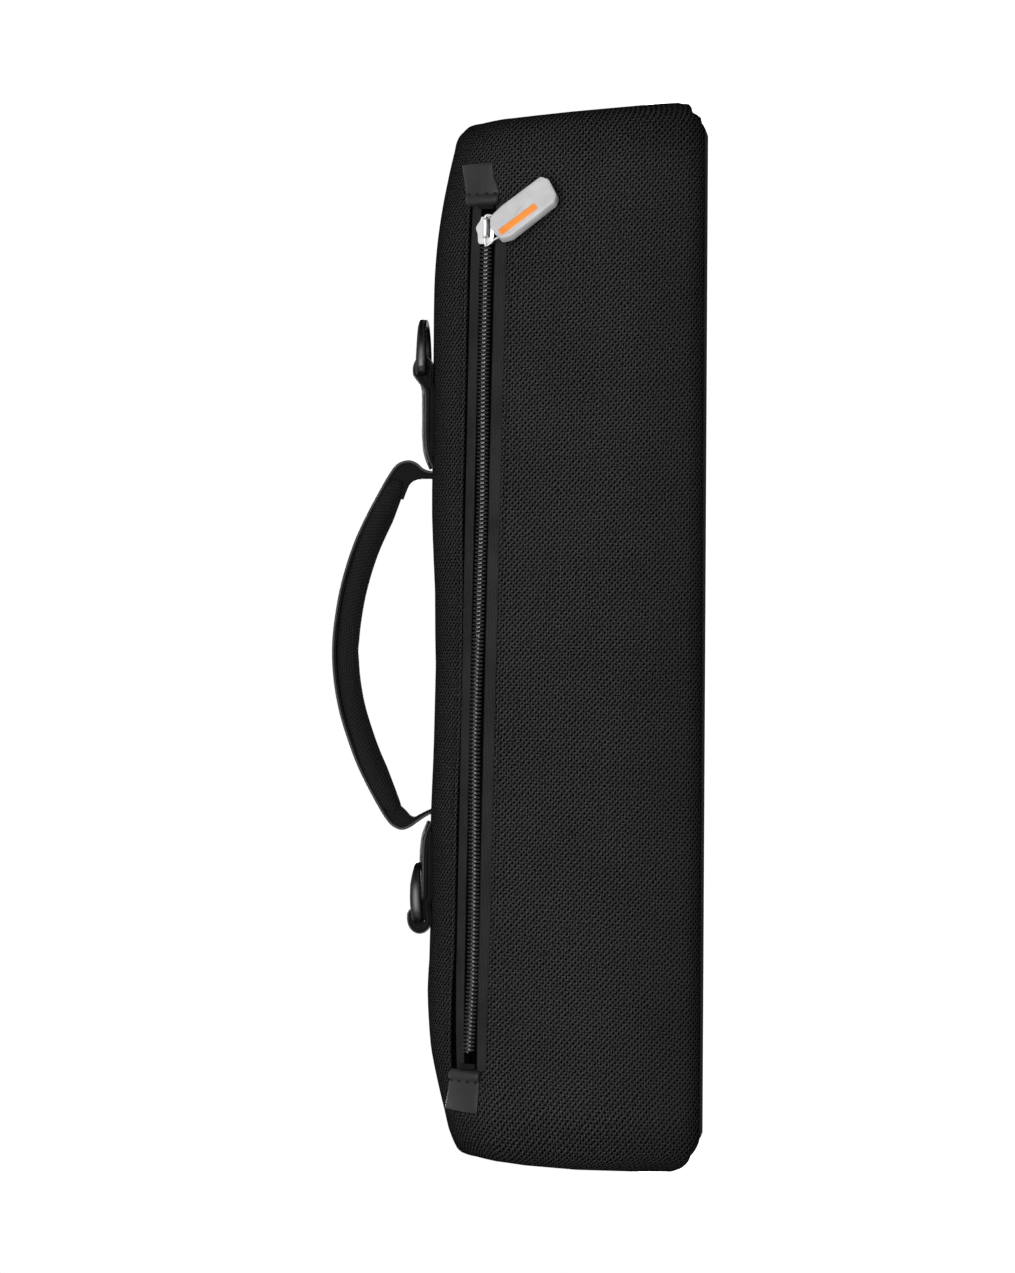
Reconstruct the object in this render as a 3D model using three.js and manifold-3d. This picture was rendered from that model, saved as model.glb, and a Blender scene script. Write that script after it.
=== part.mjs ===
// A zipped soft case for a flute, with a padded carrying handle and two strap rings.
// Millimetres, +Z up. The case stands on its bottom and its zip faces -Y.
import * as THREE from 'three';
import { mergeVertices } from 'three/addons/utils/BufferGeometryUtils.js';
import Module from 'manifold-3d';

const wasm = await Module();
wasm.setup();

// Case outline
const caseLength = 440;
const crownHeight = 112.7;
const archRise = 32;
const bottomDepth = 72;
const shoulderDepth = 66;
const bottomCornerRadius = 10.5;
const leastCornerRadius = 0.5;
const endRounding = 10;
const topShorterShare = 0.042;
const crownEndLength = 80;
const crownEndDrop = 12;

// Wall: fabric, padding and lining
const fabricThickness = 1.2;
const foamThickness = 6;
const liningThickness = 1;
const gap = 0.3;
const bottomSeamHeight = 1.4;
const overrun = 30;
const slotOverrun = 5;

// Zip: its angle is measured on the arch, up from the top of the straight wall
const zipAngle = 24.56;
const zipEndFall = 2.8;
const zipEndMargin = 41.5;
const chainEndMargin = 7.5;
const flapEndMargin = 13;
const tapeTuck = 8.5;
const tapeHalfWidth = 13;
const tapeShownHalfWidth = 7;
const tapeThickness = 0.8;
const toothPitch = 1.65;
const toothReach = 0.4;
const toothRoot = 1;
const coilHalfWidth = 2.7;
const coilThickness = 1.9;
const stopLength = 2.6;
const stopHalfWidth = 3.4;

// Zip slider, its wire link and the moulded puller
const sliderLength = 14.5;
const sliderWidth = 8;
const sliderNoseShare = 0.5;
const sliderPlate = 1.2;
const sliderBackClearance = 2.9;
const sliderLipDrop = 1.9;
const sliderLipWidth = 0.8;
const postLength = 2;
const postWidth = 1.4;
const bridgeLength = 11.4;
const bridgeWidth = 1.8;
const bridgeBar = 1.2;
const linkWire = 1.2;
const linkEyeClearance = 0.4;
const linkReach = 7.8;
const linkFall = 0.9;
const linkPinLength = 9.2;
const linkPinShift = 2.4;
const pullLength = 27;
const pullWidth = 11.5;
const pullThickness = 4;
const pullBevel = 0.8;
const pullCornerRadius = 3;
const pullTongueLength = 4.6;
const pullTongueWidth = 3.2;
const pullPinInset = 1.6;
const pullTurn = 53.7;

// Leather tabs on the ends of the zip
const tabLength = 17;
const tabWidth = 12;
const tabThickness = 2.8;
const tabFoldRadius = 1.3;
const tabTurns = { right: 9.8, left: 4.6 };

// Handle
const handleCentre = -3.9;
const handleRise = 42.6;
const handleArcRadius = 112;
const handleFootSpacing = 138.8;
const handleLeather = 1.8;
const handleLeatherWidth = 22;
const handleEndWidth = 13;
const padThickness = 8.8;
const padWidth = 26;
const padSectionPower = 0.7;
const padTipShare = 0.8;
const padTipScaleShare = 0.5;
const handleWideShare = 0.667;
const neckThickness = 4.4;

// Strap rings and the leather straps that hold them
const ringWire = 4;
const ringReach = 23.5;
const ringInnerWidth = 19.4;
const ringBowPower = 0.8;
const ringStrapWidth = 18;
const ringStrapThickness = 4.4;
const ringStrapLeather = 2.4;
const ringStrapStart = 3.8;
const ringStrapTaper = 3.8;
const ringDistances = { right: 42.1, left: 42.9 };
const ringLifts = { right: 0, left: 9 };

const degree = Math.PI / 180;
const halfLength = caseLength / 2;
const springHeight = crownHeight - archRise;
const halfGap = gap / 2;
const handleFoot = handleFootSpacing / 2;

const material = (color, roughness, metalness) =>
  new THREE.MeshStandardMaterial({ color, roughness, metalness });
const materials = {
  fabric: material(0x2b2b2e, 0.85, 0),
  base: material(0x232325, 0.55, 0),
  foam: material(0x6d6d70, 0.95, 0),
  lining: material(0x3a3a44, 0.9, 0),
  tape: material(0x333335, 0.9, 0),
  coil: material(0x4a4a4d, 0.4, 0),
  leather: material(0x39383a, 0.5, 0),
  mesh: material(0x1e1e20, 0.9, 0),
  ring: material(0x1a1a1c, 0.3, 0.2),
  chrome: material(0xd8dade, 0.15, 1),
  pull: material(0xcfd0d2, 0.5, 0),
};

const caseGroup = new THREE.Group();
const zipGroup = new THREE.Group();
caseGroup.add(zipGroup);

function place(name, geometry, look, group = caseGroup) {
  const mesh = new THREE.Mesh(geometry, look);
  mesh.name = name;
  group.add(mesh);
  return mesh;
}

// Solids: to and from the library that joins and cuts
function toSolid(geometry) {
  const bare = geometry.clone();
  bare.deleteAttribute('normal');
  bare.deleteAttribute('uv');
  const merged = mergeVertices(bare);
  return new wasm.Manifold(new wasm.Mesh({
    numProp: 3,
    vertProperties: new Float32Array(merged.attributes.position.array),
    triVerts: new Uint32Array(merged.index.array),
  }));
}

function toGeometry(solid) {
  const mesh = solid.getMesh();
  const geometry = new THREE.BufferGeometry();
  geometry.setAttribute('position', new THREE.BufferAttribute(mesh.vertProperties, mesh.numProp));
  geometry.setIndex(new THREE.BufferAttribute(mesh.triVerts, 1));
  return geometry;
}

function signedVolume(points, faces) {
  let volume = 0;
  for (const [a, b, c] of faces) {
    volume += points[a].dot(points[b].clone().cross(points[c]));
  }
  return volume;
}

// A skin through rings with equal numbers of points: capped, or closed on itself
function loft(rings, closed = false) {
  const count = rings[0].length;
  const points = rings.flat();
  const faces = [];
  const spans = closed ? rings.length : rings.length - 1;
  for (let i = 0; i < spans; i += 1) {
    const here = i * count;
    const next = ((i + 1) % rings.length) * count;
    for (let j = 0; j < count; j += 1) {
      const k = (j + 1) % count;
      faces.push([here + j, here + k, next + k], [here + j, next + k, next + j]);
    }
  }
  if (!closed) {
    const last = (rings.length - 1) * count;
    for (let j = 1; j < count - 1; j += 1) {
      faces.push([0, j + 1, j], [last, last + j, last + j + 1]);
    }
  }
  const turned = signedVolume(points, faces) < 0;
  const geometry = new THREE.BufferGeometry();
  geometry.setFromPoints(points);
  geometry.setIndex(faces.flatMap(([a, b, c]) => (turned ? [a, c, b] : [a, b, c])));
  return geometry;
}

function box(xSpan, ySpan, zSpan) {
  const [sizeX, sizeY, sizeZ] = [xSpan, ySpan, zSpan].map(([low, high]) => high - low);
  const geometry = new THREE.BoxGeometry(sizeX, sizeY, sizeZ);
  const [midX, midY, midZ] = [xSpan, ySpan, zSpan].map(([low, high]) => (low + high) / 2);
  return geometry.translate(midX, midY, midZ);
}

// An outline drawn in the X-Z plane, given a width centred on y = 0
function plateAcross(shape, width, curveSegments) {
  const options = { depth: width, bevelEnabled: false, curveSegments };
  const geometry = new THREE.ExtrudeGeometry(shape, options);
  geometry.translate(0, 0, -width / 2);
  return geometry.rotateX(Math.PI / 2);
}

// Case body: one section across the depth, lofted along the length
const archSteps = 12;
const cornerSteps = 3;
const endSteps = 3;
const crownSteps = 3;
const crownLevelEnd = halfLength - crownEndLength;

function crownAt(x) {
  const past = Math.max(Math.abs(x) - crownLevelEnd, 0);
  return crownHeight - crownEndDrop * (past / crownEndLength) ** 2;
}

function leanIn(x, z) {
  return x * (1 - topShorterShare * (z - bottomCornerRadius) / crownHeight);
}

function bodyRing(x, inset, endInset) {
  const depthIn = inset + endInset;
  const half = bottomDepth / 2 - depthIn;
  const shoulder = shoulderDepth / 2 - depthIn;
  const rise = crownAt(x) - springHeight - depthIn;
  const radius = Math.max(bottomCornerRadius - depthIn, leastCornerRadius);
  const ring = [];
  const add = (y, z) => ring.push(new THREE.Vector3(leanIn(x, z), y, z));
  for (let i = 0; i <= cornerSteps; i += 1) {
    const angle = (i / cornerSteps - 1) * Math.PI / 2;
    add(half - radius + radius * Math.cos(angle), depthIn + radius + radius * Math.sin(angle));
  }
  for (let i = 0; i <= archSteps; i += 1) {
    const angle = i / archSteps * Math.PI;
    add(shoulder * Math.cos(angle), springHeight + rise * Math.sin(angle));
  }
  for (let i = 0; i <= cornerSteps; i += 1) {
    const angle = Math.PI + i / cornerSteps * Math.PI / 2;
    add(-half + radius + radius * Math.cos(angle), depthIn + radius + radius * Math.sin(angle));
  }
  return ring;
}

function bodySolid(inset) {
  const radius = endRounding - inset;
  const roundStart = halfLength - endRounding;
  const stations = [];
  for (let i = 0; i < crownSteps; i += 1) {
    stations.push([crownLevelEnd + (roundStart - crownLevelEnd) * i / crownSteps, 0]);
  }
  for (let i = 0; i <= endSteps; i += 1) {
    const angle = i / endSteps * Math.PI / 2;
    stations.push([roundStart + radius * Math.sin(angle), radius * (1 - Math.cos(angle))]);
  }
  const mirrored = stations.map(([x, endInset]) => [-x, endInset]).reverse();
  const rings = [...mirrored, ...stations];
  return toSolid(loft(rings.map(([x, endInset]) => bodyRing(x, inset, endInset))));
}

// Depths below the outer surface at which each layer starts and ends
const foamTop = fabricThickness + gap;
const foamBase = foamTop + foamThickness;
const liningTop = foamBase + gap;
const liningBase = liningTop + liningThickness;
const tapeBase = foamTop + tapeThickness;
const slotDepth = liningBase + slotOverrun;

const layer = (top, base) => bodySolid(top).subtract(bodySolid(base));
const fabricLayer = layer(0, fabricThickness);
const liningLayer = layer(liningTop, liningBase);
const tapeLayer = layer(foamTop, tapeBase);

// Zip line: it lies on the front of the arch and falls slightly towards +X.
// In its own frame u runs along the zip, v up across it and w out of the surface.
const halfOpening = halfLength - zipEndMargin;
const halfChain = halfOpening - chainEndMargin;
const halfFlap = halfChain - flapEndMargin;
const halfTape = halfOpening + tapeTuck;
const zipRise = Math.sin(zipAngle * degree);
const zipReach = Math.cos(zipAngle * degree);
const zipHeight = springHeight + archRise * zipRise;
const zipDepth = -shoulderDepth / 2 * zipReach;
const zipOut = new THREE.Vector3(0, -zipReach / (shoulderDepth / 2), zipRise / archRise).normalize();
const zipFall = Math.asin(zipEndFall / halfChain / -zipOut.y);
const zipUp = new THREE.Vector3(0, zipOut.z, -zipOut.y);
const zipAlong = new THREE.Vector3(1, 0, 0).multiplyScalar(Math.cos(zipFall))
  .addScaledVector(zipUp, -Math.sin(zipFall));
const zipAcross = new THREE.Vector3().crossVectors(zipOut, zipAlong);
const zipMatrix = new THREE.Matrix4().makeBasis(zipAlong, zipAcross, zipOut);
zipMatrix.setPosition(0, zipDepth, zipHeight);
zipGroup.applyMatrix4(zipMatrix);

const zipBox = (u, v, w) => toSolid(box(u, v, w).applyMatrix4(zipMatrix));

const farX = halfLength + overrun;

// The part of the case above the zip line and the back seam
function topRegion(grow) {
  const lineAt = (x) => new THREE.Vector3(0, zipDepth, zipHeight).addScaledVector(
    zipAlong,
    x / zipAlong.x,
  );
  const ringAt = (x) => {
    const front = lineAt(x).addScaledVector(zipUp, -grow);
    const outer = front.clone().addScaledVector(zipOut, overrun);
    const inner = front.clone().addScaledVector(zipOut, -slotDepth);
    const back = springHeight - grow;
    const roof = crownHeight + overrun;
    return [
      [outer.y, roof],
      [outer.y, outer.z],
      [inner.y, inner.z],
      [shoulderDepth / 2 - slotDepth, back],
      [bottomDepth, back],
      [bottomDepth, roof],
    ].map(([y, z]) => new THREE.Vector3(x, y, z));
  };
  const rings = [-farX, farX].map(ringAt);
  const outline = rings[0].map((point) => new THREE.Vector2(point.y, point.z));
  return prism(rings, outline);
}

// A solid between two like outlines that may be hollow in places
function prism(rings, outline) {
  const count = outline.length;
  const triangles = THREE.ShapeUtils.triangulateShape(outline, []);
  const faces = [];
  for (let j = 0; j < count; j += 1) {
    const k = (j + 1) % count;
    faces.push([j, k, count + k], [j, count + k, count + j]);
  }
  const wall = faces.slice();
  for (const [a, b, c] of triangles) {
    faces.push([a, c, b], [count + a, count + b, count + c]);
  }
  const points = rings.flat();
  const wallTurns = THREE.ShapeUtils.isClockWise(outline);
  const fixed = faces.map(([a, b, c], i) => (wallTurns && i < wall.length ? [a, c, b] : [a, b, c]));
  const turned = signedVolume(points, fixed) < 0;
  const geometry = new THREE.BufferGeometry();
  geometry.setFromPoints(points);
  geometry.setIndex(fixed.flatMap(([a, b, c]) => (turned ? [a, c, b] : [a, b, c])));
  return toSolid(geometry);
}

const farY = bottomDepth;
const farZ = crownHeight + overrun;
const wholeTop = topRegion(-halfGap);
const wholeTopRoom = topRegion(halfGap);
const slab = (from, to) => toSolid(box([from, to], [-farY, farY], [-overrun, farZ]));
const flapRegion = wholeTop.intersect(slab(-halfFlap + halfGap, halfFlap - halfGap));
const flapRoom = wholeTopRoom.intersect(slab(-halfFlap - halfGap, halfFlap + halfGap));

// Openings cut for the zip: through the fabric, and wider through the padding and lining
const slotSpan = [-slotDepth, slotOverrun];
const fabricSlot = zipBox(
  [-halfOpening, halfOpening],
  [-tapeShownHalfWidth, tapeShownHalfWidth],
  slotSpan,
);
const innerSlot = zipBox(
  [-halfOpening, halfOpening],
  [-tapeShownHalfWidth - gap, tapeShownHalfWidth + gap],
  slotSpan,
);
const tapeRoom = zipBox(
  [-halfTape - gap, halfTape + gap],
  [-tapeHalfWidth - gap, tapeHalfWidth + gap],
  slotSpan,
).subtract(bodySolid(tapeBase + gap));
const foamLayer = layer(foamTop, foamBase).subtract(tapeRoom);

// Boxes that lean in like the case, for cuts near its ends
function leaningBox(xSpan, ySpan, zSpan) {
  const geometry = box(xSpan, ySpan, zSpan);
  const position = geometry.attributes.position;
  for (let i = 0; i < position.count; i += 1) {
    position.setX(i, leanIn(position.getX(i), position.getZ(i)));
  }
  return toSolid(geometry);
}

const sides = [['right', 1], ['left', -1]];
const spanFrom = (side, near, far) => (side > 0 ? [near, far] : [-far, -near]);
const fixedTop = (side) => wholeTop.intersect(slab(...spanFrom(side, halfFlap + halfGap, farX)));
const allDepth = [-farY, farY];
const allHeight = [-overrun, farZ];

function endSlab(side, thickness, grow) {
  return leaningBox(spanFrom(side, halfLength - thickness - grow, farX), allDepth, allHeight);
}

function between(solid, thickness) {
  return sides.reduce((kept, [, side]) => kept.subtract(endSlab(side, thickness, halfGap)), solid);
}

// Outer panels
const belowSeam = toSolid(box([-farX, farX], allDepth, [-overrun, bottomSeamHeight - halfGap]));
const aboveSeam = toSolid(box([-farX, farX], allDepth, [bottomSeamHeight + halfGap, farZ]));
const frontSide = toSolid(box([-farX, farX], [-farY, -halfGap], allHeight));
const backSide = toSolid(box([-farX, farX], [halfGap, farY], allHeight));
const sideFabric = between(fabricLayer, fabricThickness).intersect(aboveSeam).subtract(wholeTopRoom)
  .subtract(fabricSlot);
place('front_panel', toGeometry(sideFabric.intersect(frontSide)), materials.fabric);
place('back_panel', toGeometry(sideFabric.intersect(backSide)), materials.fabric);
place('bottom_panel', toGeometry(fabricLayer.intersect(belowSeam)), materials.base);

const topFabric = between(fabricLayer, fabricThickness).subtract(fabricSlot);
place('top_flap_panel', toGeometry(topFabric.intersect(flapRegion)), materials.fabric);
for (const [name, side] of sides) {
  place(`${name}_top_panel`, toGeometry(topFabric.intersect(fixedTop(side))), materials.fabric);
  const end = fabricLayer.intersect(endSlab(side, fabricThickness, -halfGap)).intersect(aboveSeam);
  place(`${name}_end_panel`, toGeometry(end), materials.fabric);
}

// Padding
const floorFoam = toSolid(box([-farX, farX], allDepth, [-overrun, foamBase - halfGap]));
const wallFoam = toSolid(box([-farX, farX], allDepth, [foamBase + halfGap, farZ]));
const innerFoam = between(foamLayer, foamBase).subtract(innerSlot);
place('bottom_padding', toGeometry(innerFoam.intersect(floorFoam)), materials.foam);
const sidePadding = innerFoam.intersect(wallFoam).subtract(wholeTopRoom);
place('front_padding', toGeometry(sidePadding.intersect(frontSide)), materials.foam);
place('back_padding', toGeometry(sidePadding.intersect(backSide)), materials.foam);
place('top_flap_padding', toGeometry(innerFoam.intersect(flapRegion)), materials.foam);
for (const [name, side] of sides) {
  place(`${name}_top_padding`, toGeometry(innerFoam.intersect(fixedTop(side))), materials.foam);
  const end = foamLayer.intersect(endSlab(side, foamBase, -halfGap));
  place(`${name}_end_padding`, toGeometry(end), materials.foam);
}

// Lining: one sewn bag, and the piece inside the flap
const openLining = liningLayer.subtract(innerSlot);
place('bag_lining', toGeometry(openLining.subtract(flapRoom)), materials.lining);
place('top_flap_lining', toGeometry(openLining.intersect(flapRegion)), materials.lining);

// Zip tapes: sewn between the fabric and the padding, with a slit between them
const halfSlit = postWidth / 2 + gap;
const tapeSide = (v) => tapeLayer.intersect(zipBox([-halfTape, halfTape], v, slotSpan));
const rearTape = tapeSide([halfSlit, tapeHalfWidth]);
place('front_zip_tape', toGeometry(tapeSide([-tapeHalfWidth, -halfSlit])), materials.tape);
place('rear_zip_tape', toGeometry(rearTape.intersect(flapRegion)), materials.tape);
for (const [name, side] of sides) {
  place(`${name}_rear_tape_end`, toGeometry(rearTape.intersect(fixedTop(side))), materials.tape);
}

// Zip chain: two rows of coil teeth that mesh along the middle
const coilBase = -foamTop + gap;

function coilRow(from, to, side) {
  const shape = new THREE.Shape();
  const halfPitch = toothPitch / 2;
  const first = Math.ceil(from / halfPitch);
  const last = Math.floor(to / halfPitch);
  shape.moveTo(first * halfPitch, side * coilHalfWidth);
  for (let i = first; i <= last; i += 1) {
    const frontTip = i % 2 === 0;
    const tip = frontTip === (side < 0);
    shape.lineTo(i * halfPitch, side * (tip ? -toothReach : toothRoot));
  }
  shape.lineTo(last * halfPitch, side * coilHalfWidth);
  const geometry = new THREE.ExtrudeGeometry(shape, { depth: coilThickness, bevelEnabled: false });
  return geometry.translate(0, 0, coilBase);
}

place('front_zip_chain', coilRow(-halfChain, halfChain, -1), materials.coil, zipGroup);
place('rear_zip_chain', coilRow(-halfFlap + gap, halfFlap - gap, 1), materials.coil, zipGroup);
for (const [name, side] of sides) {
  const span = spanFrom(side, halfFlap + gap, halfChain);
  place(`${name}_rear_chain_end`, coilRow(...span, 1), materials.coil, zipGroup);
}

// Zip slider at its right stop: two plates, a post between them and a bridge on top
const sliderPlace = halfOpening - stopLength - gap - sliderLength / 2;
const sliderTop = coilBase + coilThickness + gap;
const sliderBack = -tapeBase - sliderBackClearance;
const bridgeHeight = sliderTop + sliderPlate + linkEyeClearance + gap
  + linkWire + bridgeBar;
const sliderNose = sliderWidth / 2 * sliderNoseShare;

function sliderOutline() {
  const half = sliderLength / 2;
  const wide = sliderWidth / 2;
  const shape = new THREE.Shape();
  shape.moveTo(-half, -wide + sliderNose * sliderNoseShare);
  shape.lineTo(-half + sliderNose, -wide);
  shape.lineTo(half - wide, -wide);
  shape.quadraticCurveTo(half, -wide, half, 0);
  shape.quadraticCurveTo(half, wide, half - wide, wide);
  shape.lineTo(-half + sliderNose, wide);
  shape.lineTo(-half, wide - sliderNose * sliderNoseShare);
  return shape;
}

function sliderSolid() {
  const plate = (depth) => new THREE.ExtrudeGeometry(sliderOutline(), {
    depth,
    bevelEnabled: false,
    curveSegments: 4,
  });
  const top = toSolid(plate(sliderPlate).translate(0, 0, sliderTop));
  const base = toSolid(plate(sliderPlate).translate(0, 0, sliderBack - sliderPlate));
  const half = sliderLength / 2;
  const wide = sliderWidth / 2;
  const straight = [-half + sliderNose, half - wide];
  const lip = (side) => toSolid(box(
    straight,
    side > 0 ? [wide - sliderLipWidth, wide] : [-wide, -wide + sliderLipWidth],
    [sliderTop - sliderLipDrop, sliderTop + sliderPlate / 2],
  ));
  const post = toSolid(box(
    [half - postLength - sliderPlate / 2, half - sliderPlate / 2],
    [-postWidth / 2, postWidth / 2],
    [sliderBack - sliderPlate / 2, sliderTop + sliderPlate / 2],
  ));
  const bridge = new THREE.Shape();
  const reach = bridgeLength / 2;
  const low = sliderTop + sliderPlate / 2;
  const bar = bridgeHeight + bridgeBar / 2;
  const under = bridgeHeight - bridgeBar / 2;
  bridge.moveTo(-reach, low);
  bridge.lineTo(-reach + bridgeBar, low);
  bridge.lineTo(-reach + bridgeBar, under);
  bridge.lineTo(reach - bridgeBar, under);
  bridge.lineTo(reach - bridgeBar, low);
  bridge.lineTo(reach, low);
  bridge.lineTo(reach, under);
  bridge.lineTo(reach - bridgeBar, bar);
  bridge.lineTo(-reach + bridgeBar, bar);
  bridge.lineTo(-reach, under);
  const bridgePlate = toSolid(plateAcross(bridge, bridgeWidth, 1));
  return [lip(1), lip(-1), base, post, bridgePlate].reduce((all, next) => all.add(next), top);
}

place('zip_slider', toGeometry(sliderSolid().translate([sliderPlace, 0, 0])), materials.chrome, zipGroup);

const leastMitre = 0.5;

// A round bar along a path: capped, or closed on itself
function tube(path, radius, sidesCount, closed, normal) {
  const rings = path.map((point, i) => {
    const last = path.length - 1;
    const before = path[closed ? (i + last) % path.length : Math.max(i - 1, 0)];
    const after = path[closed ? (i + 1) % path.length : Math.min(i + 1, last)];
    const incoming = point.clone().sub(before).normalize();
    const outgoing = after.clone().sub(point).normalize();
    const along = incoming.clone().add(outgoing).normalize();
    const across = new THREE.Vector3().crossVectors(normal, along).normalize();
    const up = new THREE.Vector3().crossVectors(along, across);
    const mitre = 1 / Math.max((i > 0 || closed ? incoming : outgoing).dot(along), leastMitre);
    return Array.from({ length: sidesCount }, (_, j) => {
      const angle = (j + 0.5) / sidesCount * 2 * Math.PI;
      return point.clone().addScaledVector(across, radius * mitre * Math.cos(angle))
        .addScaledVector(up, radius * Math.sin(angle));
    });
  });
  return loft(rings, closed);
}

// Wire link: an eye round the bridge bar and a bow down to the pin in the puller
const linkEyeRadius = Math.hypot(bridgeBar, bridgeWidth) / 2 + linkEyeClearance + linkWire / 2;
const pullTurnAngle = pullTurn * degree;
const eyeReach = bridgeLength / 2 - bridgeBar - linkWire / 2 - gap;
const eyeCentre = new THREE.Vector3(sliderPlace - eyeReach, 0, bridgeHeight);
const pinCentre = eyeCentre.clone().add(new THREE.Vector3(linkPinShift, -linkReach, -linkFall));
const intoZip = zipMatrix.clone().invert();
const pinAlong = new THREE.Vector3(Math.sin(pullTurnAngle), 0, Math.cos(pullTurnAngle))
  .transformDirection(intoZip);
const pullAlong = new THREE.Vector3(Math.cos(pullTurnAngle), 0, -Math.sin(pullTurnAngle))
  .transformDirection(intoZip);

const eyeSteps = 10;
const wireSides = 6;

function linkSolid() {
  const eyePath = Array.from({ length: eyeSteps }, (_, i) => {
    const angle = i / eyeSteps * 2 * Math.PI;
    return eyeCentre.clone().add(new THREE.Vector3(
      0,
      linkEyeRadius * Math.cos(angle),
      linkEyeRadius * Math.sin(angle),
    ));
  });
  const alongBar = new THREE.Vector3(1, 0, 0);
  const eye = toSolid(tube(eyePath, linkWire / 2, wireSides, true, alongBar));
  const down = pinCentre.clone().sub(eyeCentre).normalize();
  const start = eyeCentre.clone().addScaledVector(down, linkEyeRadius);
  const halfPin = linkPinLength / 2;
  const ends = [halfPin, -halfPin].map((reach) => pinCentre.clone().addScaledVector(pinAlong, reach));
  const bowNormal = new THREE.Vector3().crossVectors(pinAlong, down).normalize();
  const bow = toSolid(tube([start, ...ends], linkWire / 2, wireSides, true, bowNormal));
  return eye.add(bow);
}

place('pull_link', toGeometry(linkSolid()), materials.chrome, zipGroup);

// Puller: a moulded bar with bevelled edges and a bored tongue
function pullSolid() {
  const half = pullWidth / 2;
  const tongue = pullTongueWidth / 2;
  const neck = pullTongueLength - pullPinInset;
  const end = pullLength - pullPinInset;
  const shape = new THREE.Shape();
  shape.moveTo(-pullPinInset, -tongue);
  shape.lineTo(neck, -tongue);
  shape.lineTo(neck + half - tongue, -half);
  shape.lineTo(end - pullCornerRadius, -half);
  shape.quadraticCurveTo(end, -half, end, -half + pullCornerRadius);
  shape.lineTo(end, half - pullCornerRadius);
  shape.quadraticCurveTo(end, half, end - pullCornerRadius, half);
  shape.lineTo(neck + half - tongue, half);
  shape.lineTo(neck, tongue);
  shape.lineTo(-pullPinInset, tongue);
  const geometry = new THREE.ExtrudeGeometry(shape, {
    depth: pullThickness - 2 * pullBevel,
    bevelThickness: pullBevel,
    bevelSize: pullBevel,
    bevelOffset: -pullBevel,
    bevelSegments: 1,
    curveSegments: 4,
  });
  geometry.translate(0, 0, pullBevel - pullThickness / 2);
  const bore = new THREE.CylinderGeometry(linkWire / 2 + gap, linkWire / 2 + gap, pullWidth, 8);
  return toSolid(geometry).subtract(toSolid(bore));
}

// The puller hangs down the front from the pin, turned aside in its own plane
const pullFacing = new THREE.Vector3().crossVectors(pullAlong, pinAlong);
const pull = place('zip_pull', toGeometry(pullSolid()), materials.pull, zipGroup);
pull.applyMatrix4(new THREE.Matrix4().makeBasis(pullAlong, pinAlong, pullFacing));
pull.position.copy(pinCentre);

// Stops and leather tabs at both ends of the zip
function tabShape() {
  const shape = new THREE.Shape();
  const top = tabThickness;
  shape.moveTo(tabFoldRadius, 0);
  shape.lineTo(tabLength, 0);
  shape.lineTo(tabLength, top);
  shape.lineTo(tabFoldRadius, top);
  shape.quadraticCurveTo(0, top, 0, top / 2);
  shape.quadraticCurveTo(0, 0, tabFoldRadius, 0);
  return shape;
}

for (const [name, side] of sides) {
  const stop = box(
    spanFrom(side, halfOpening - stopLength, halfOpening - gap),
    [-stopHalfWidth, stopHalfWidth],
    [coilBase, coilBase + coilThickness],
  );
  place(`${name}_zip_stop`, stop, materials.chrome, zipGroup);
  const tab = plateAcross(tabShape(), tabWidth, 3);
  tab.rotateZ(side > 0 ? tabTurns[name] * degree : Math.PI - tabTurns[name] * degree);
  tab.translate(side * halfOpening, 0, gap);
  place(`${name}_zip_tab`, tab, materials.leather, zipGroup);
}

// Handle: a leather strip bent over a padded grip, on two necks
const padSides = 10;
const padSteps = 12;
const seatSteps = 24;
const padHalf = padThickness / 2;
const leatherInner = padHalf + gap;
const leatherOuter = leatherInner + handleLeather;
const handlePathRise = handleRise - leatherOuter;
const handleArcHeight = crownHeight + handlePathRise - handleArcRadius;
const handleEndAngle = Math.asin(handleFoot / handleArcRadius);
const handleEndHeight = handleArcHeight + handleArcRadius * Math.cos(handleEndAngle);
const neckPivot = handleEndHeight - leatherOuter;

function padRing(angle, scale) {
  const middle = Math.cos(angle / handleEndAngle * Math.PI / 2);
  const half = (handleEndWidth + (padWidth - handleEndWidth) * Math.sqrt(Math.max(middle, 0))) / 2;
  const swell = (value) => Math.sign(value) * Math.abs(value) ** padSectionPower;
  return Array.from({ length: padSides }, (_, j) => {
    const turn = (j + 0.5) / padSides * 2 * Math.PI;
    const radius = handleArcRadius + padHalf * scale * swell(Math.sin(turn));
    return new THREE.Vector3(
      handleCentre + radius * Math.sin(angle),
      half * scale * swell(Math.cos(turn)),
      handleArcHeight + radius * Math.cos(angle),
    );
  });
}

function padGeometry() {
  const tip = padHalf * padTipShare / handleArcRadius;
  const rings = [padRing(-handleEndAngle - tip, padTipScaleShare)];
  for (let i = 0; i <= padSteps; i += 1) {
    rings.push(padRing((2 * i / padSteps - 1) * handleEndAngle, 1));
  }
  rings.push(padRing(handleEndAngle + tip, padTipScaleShare));
  return loft(rings);
}

place('handle_grip', padGeometry(), materials.mesh);

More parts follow.
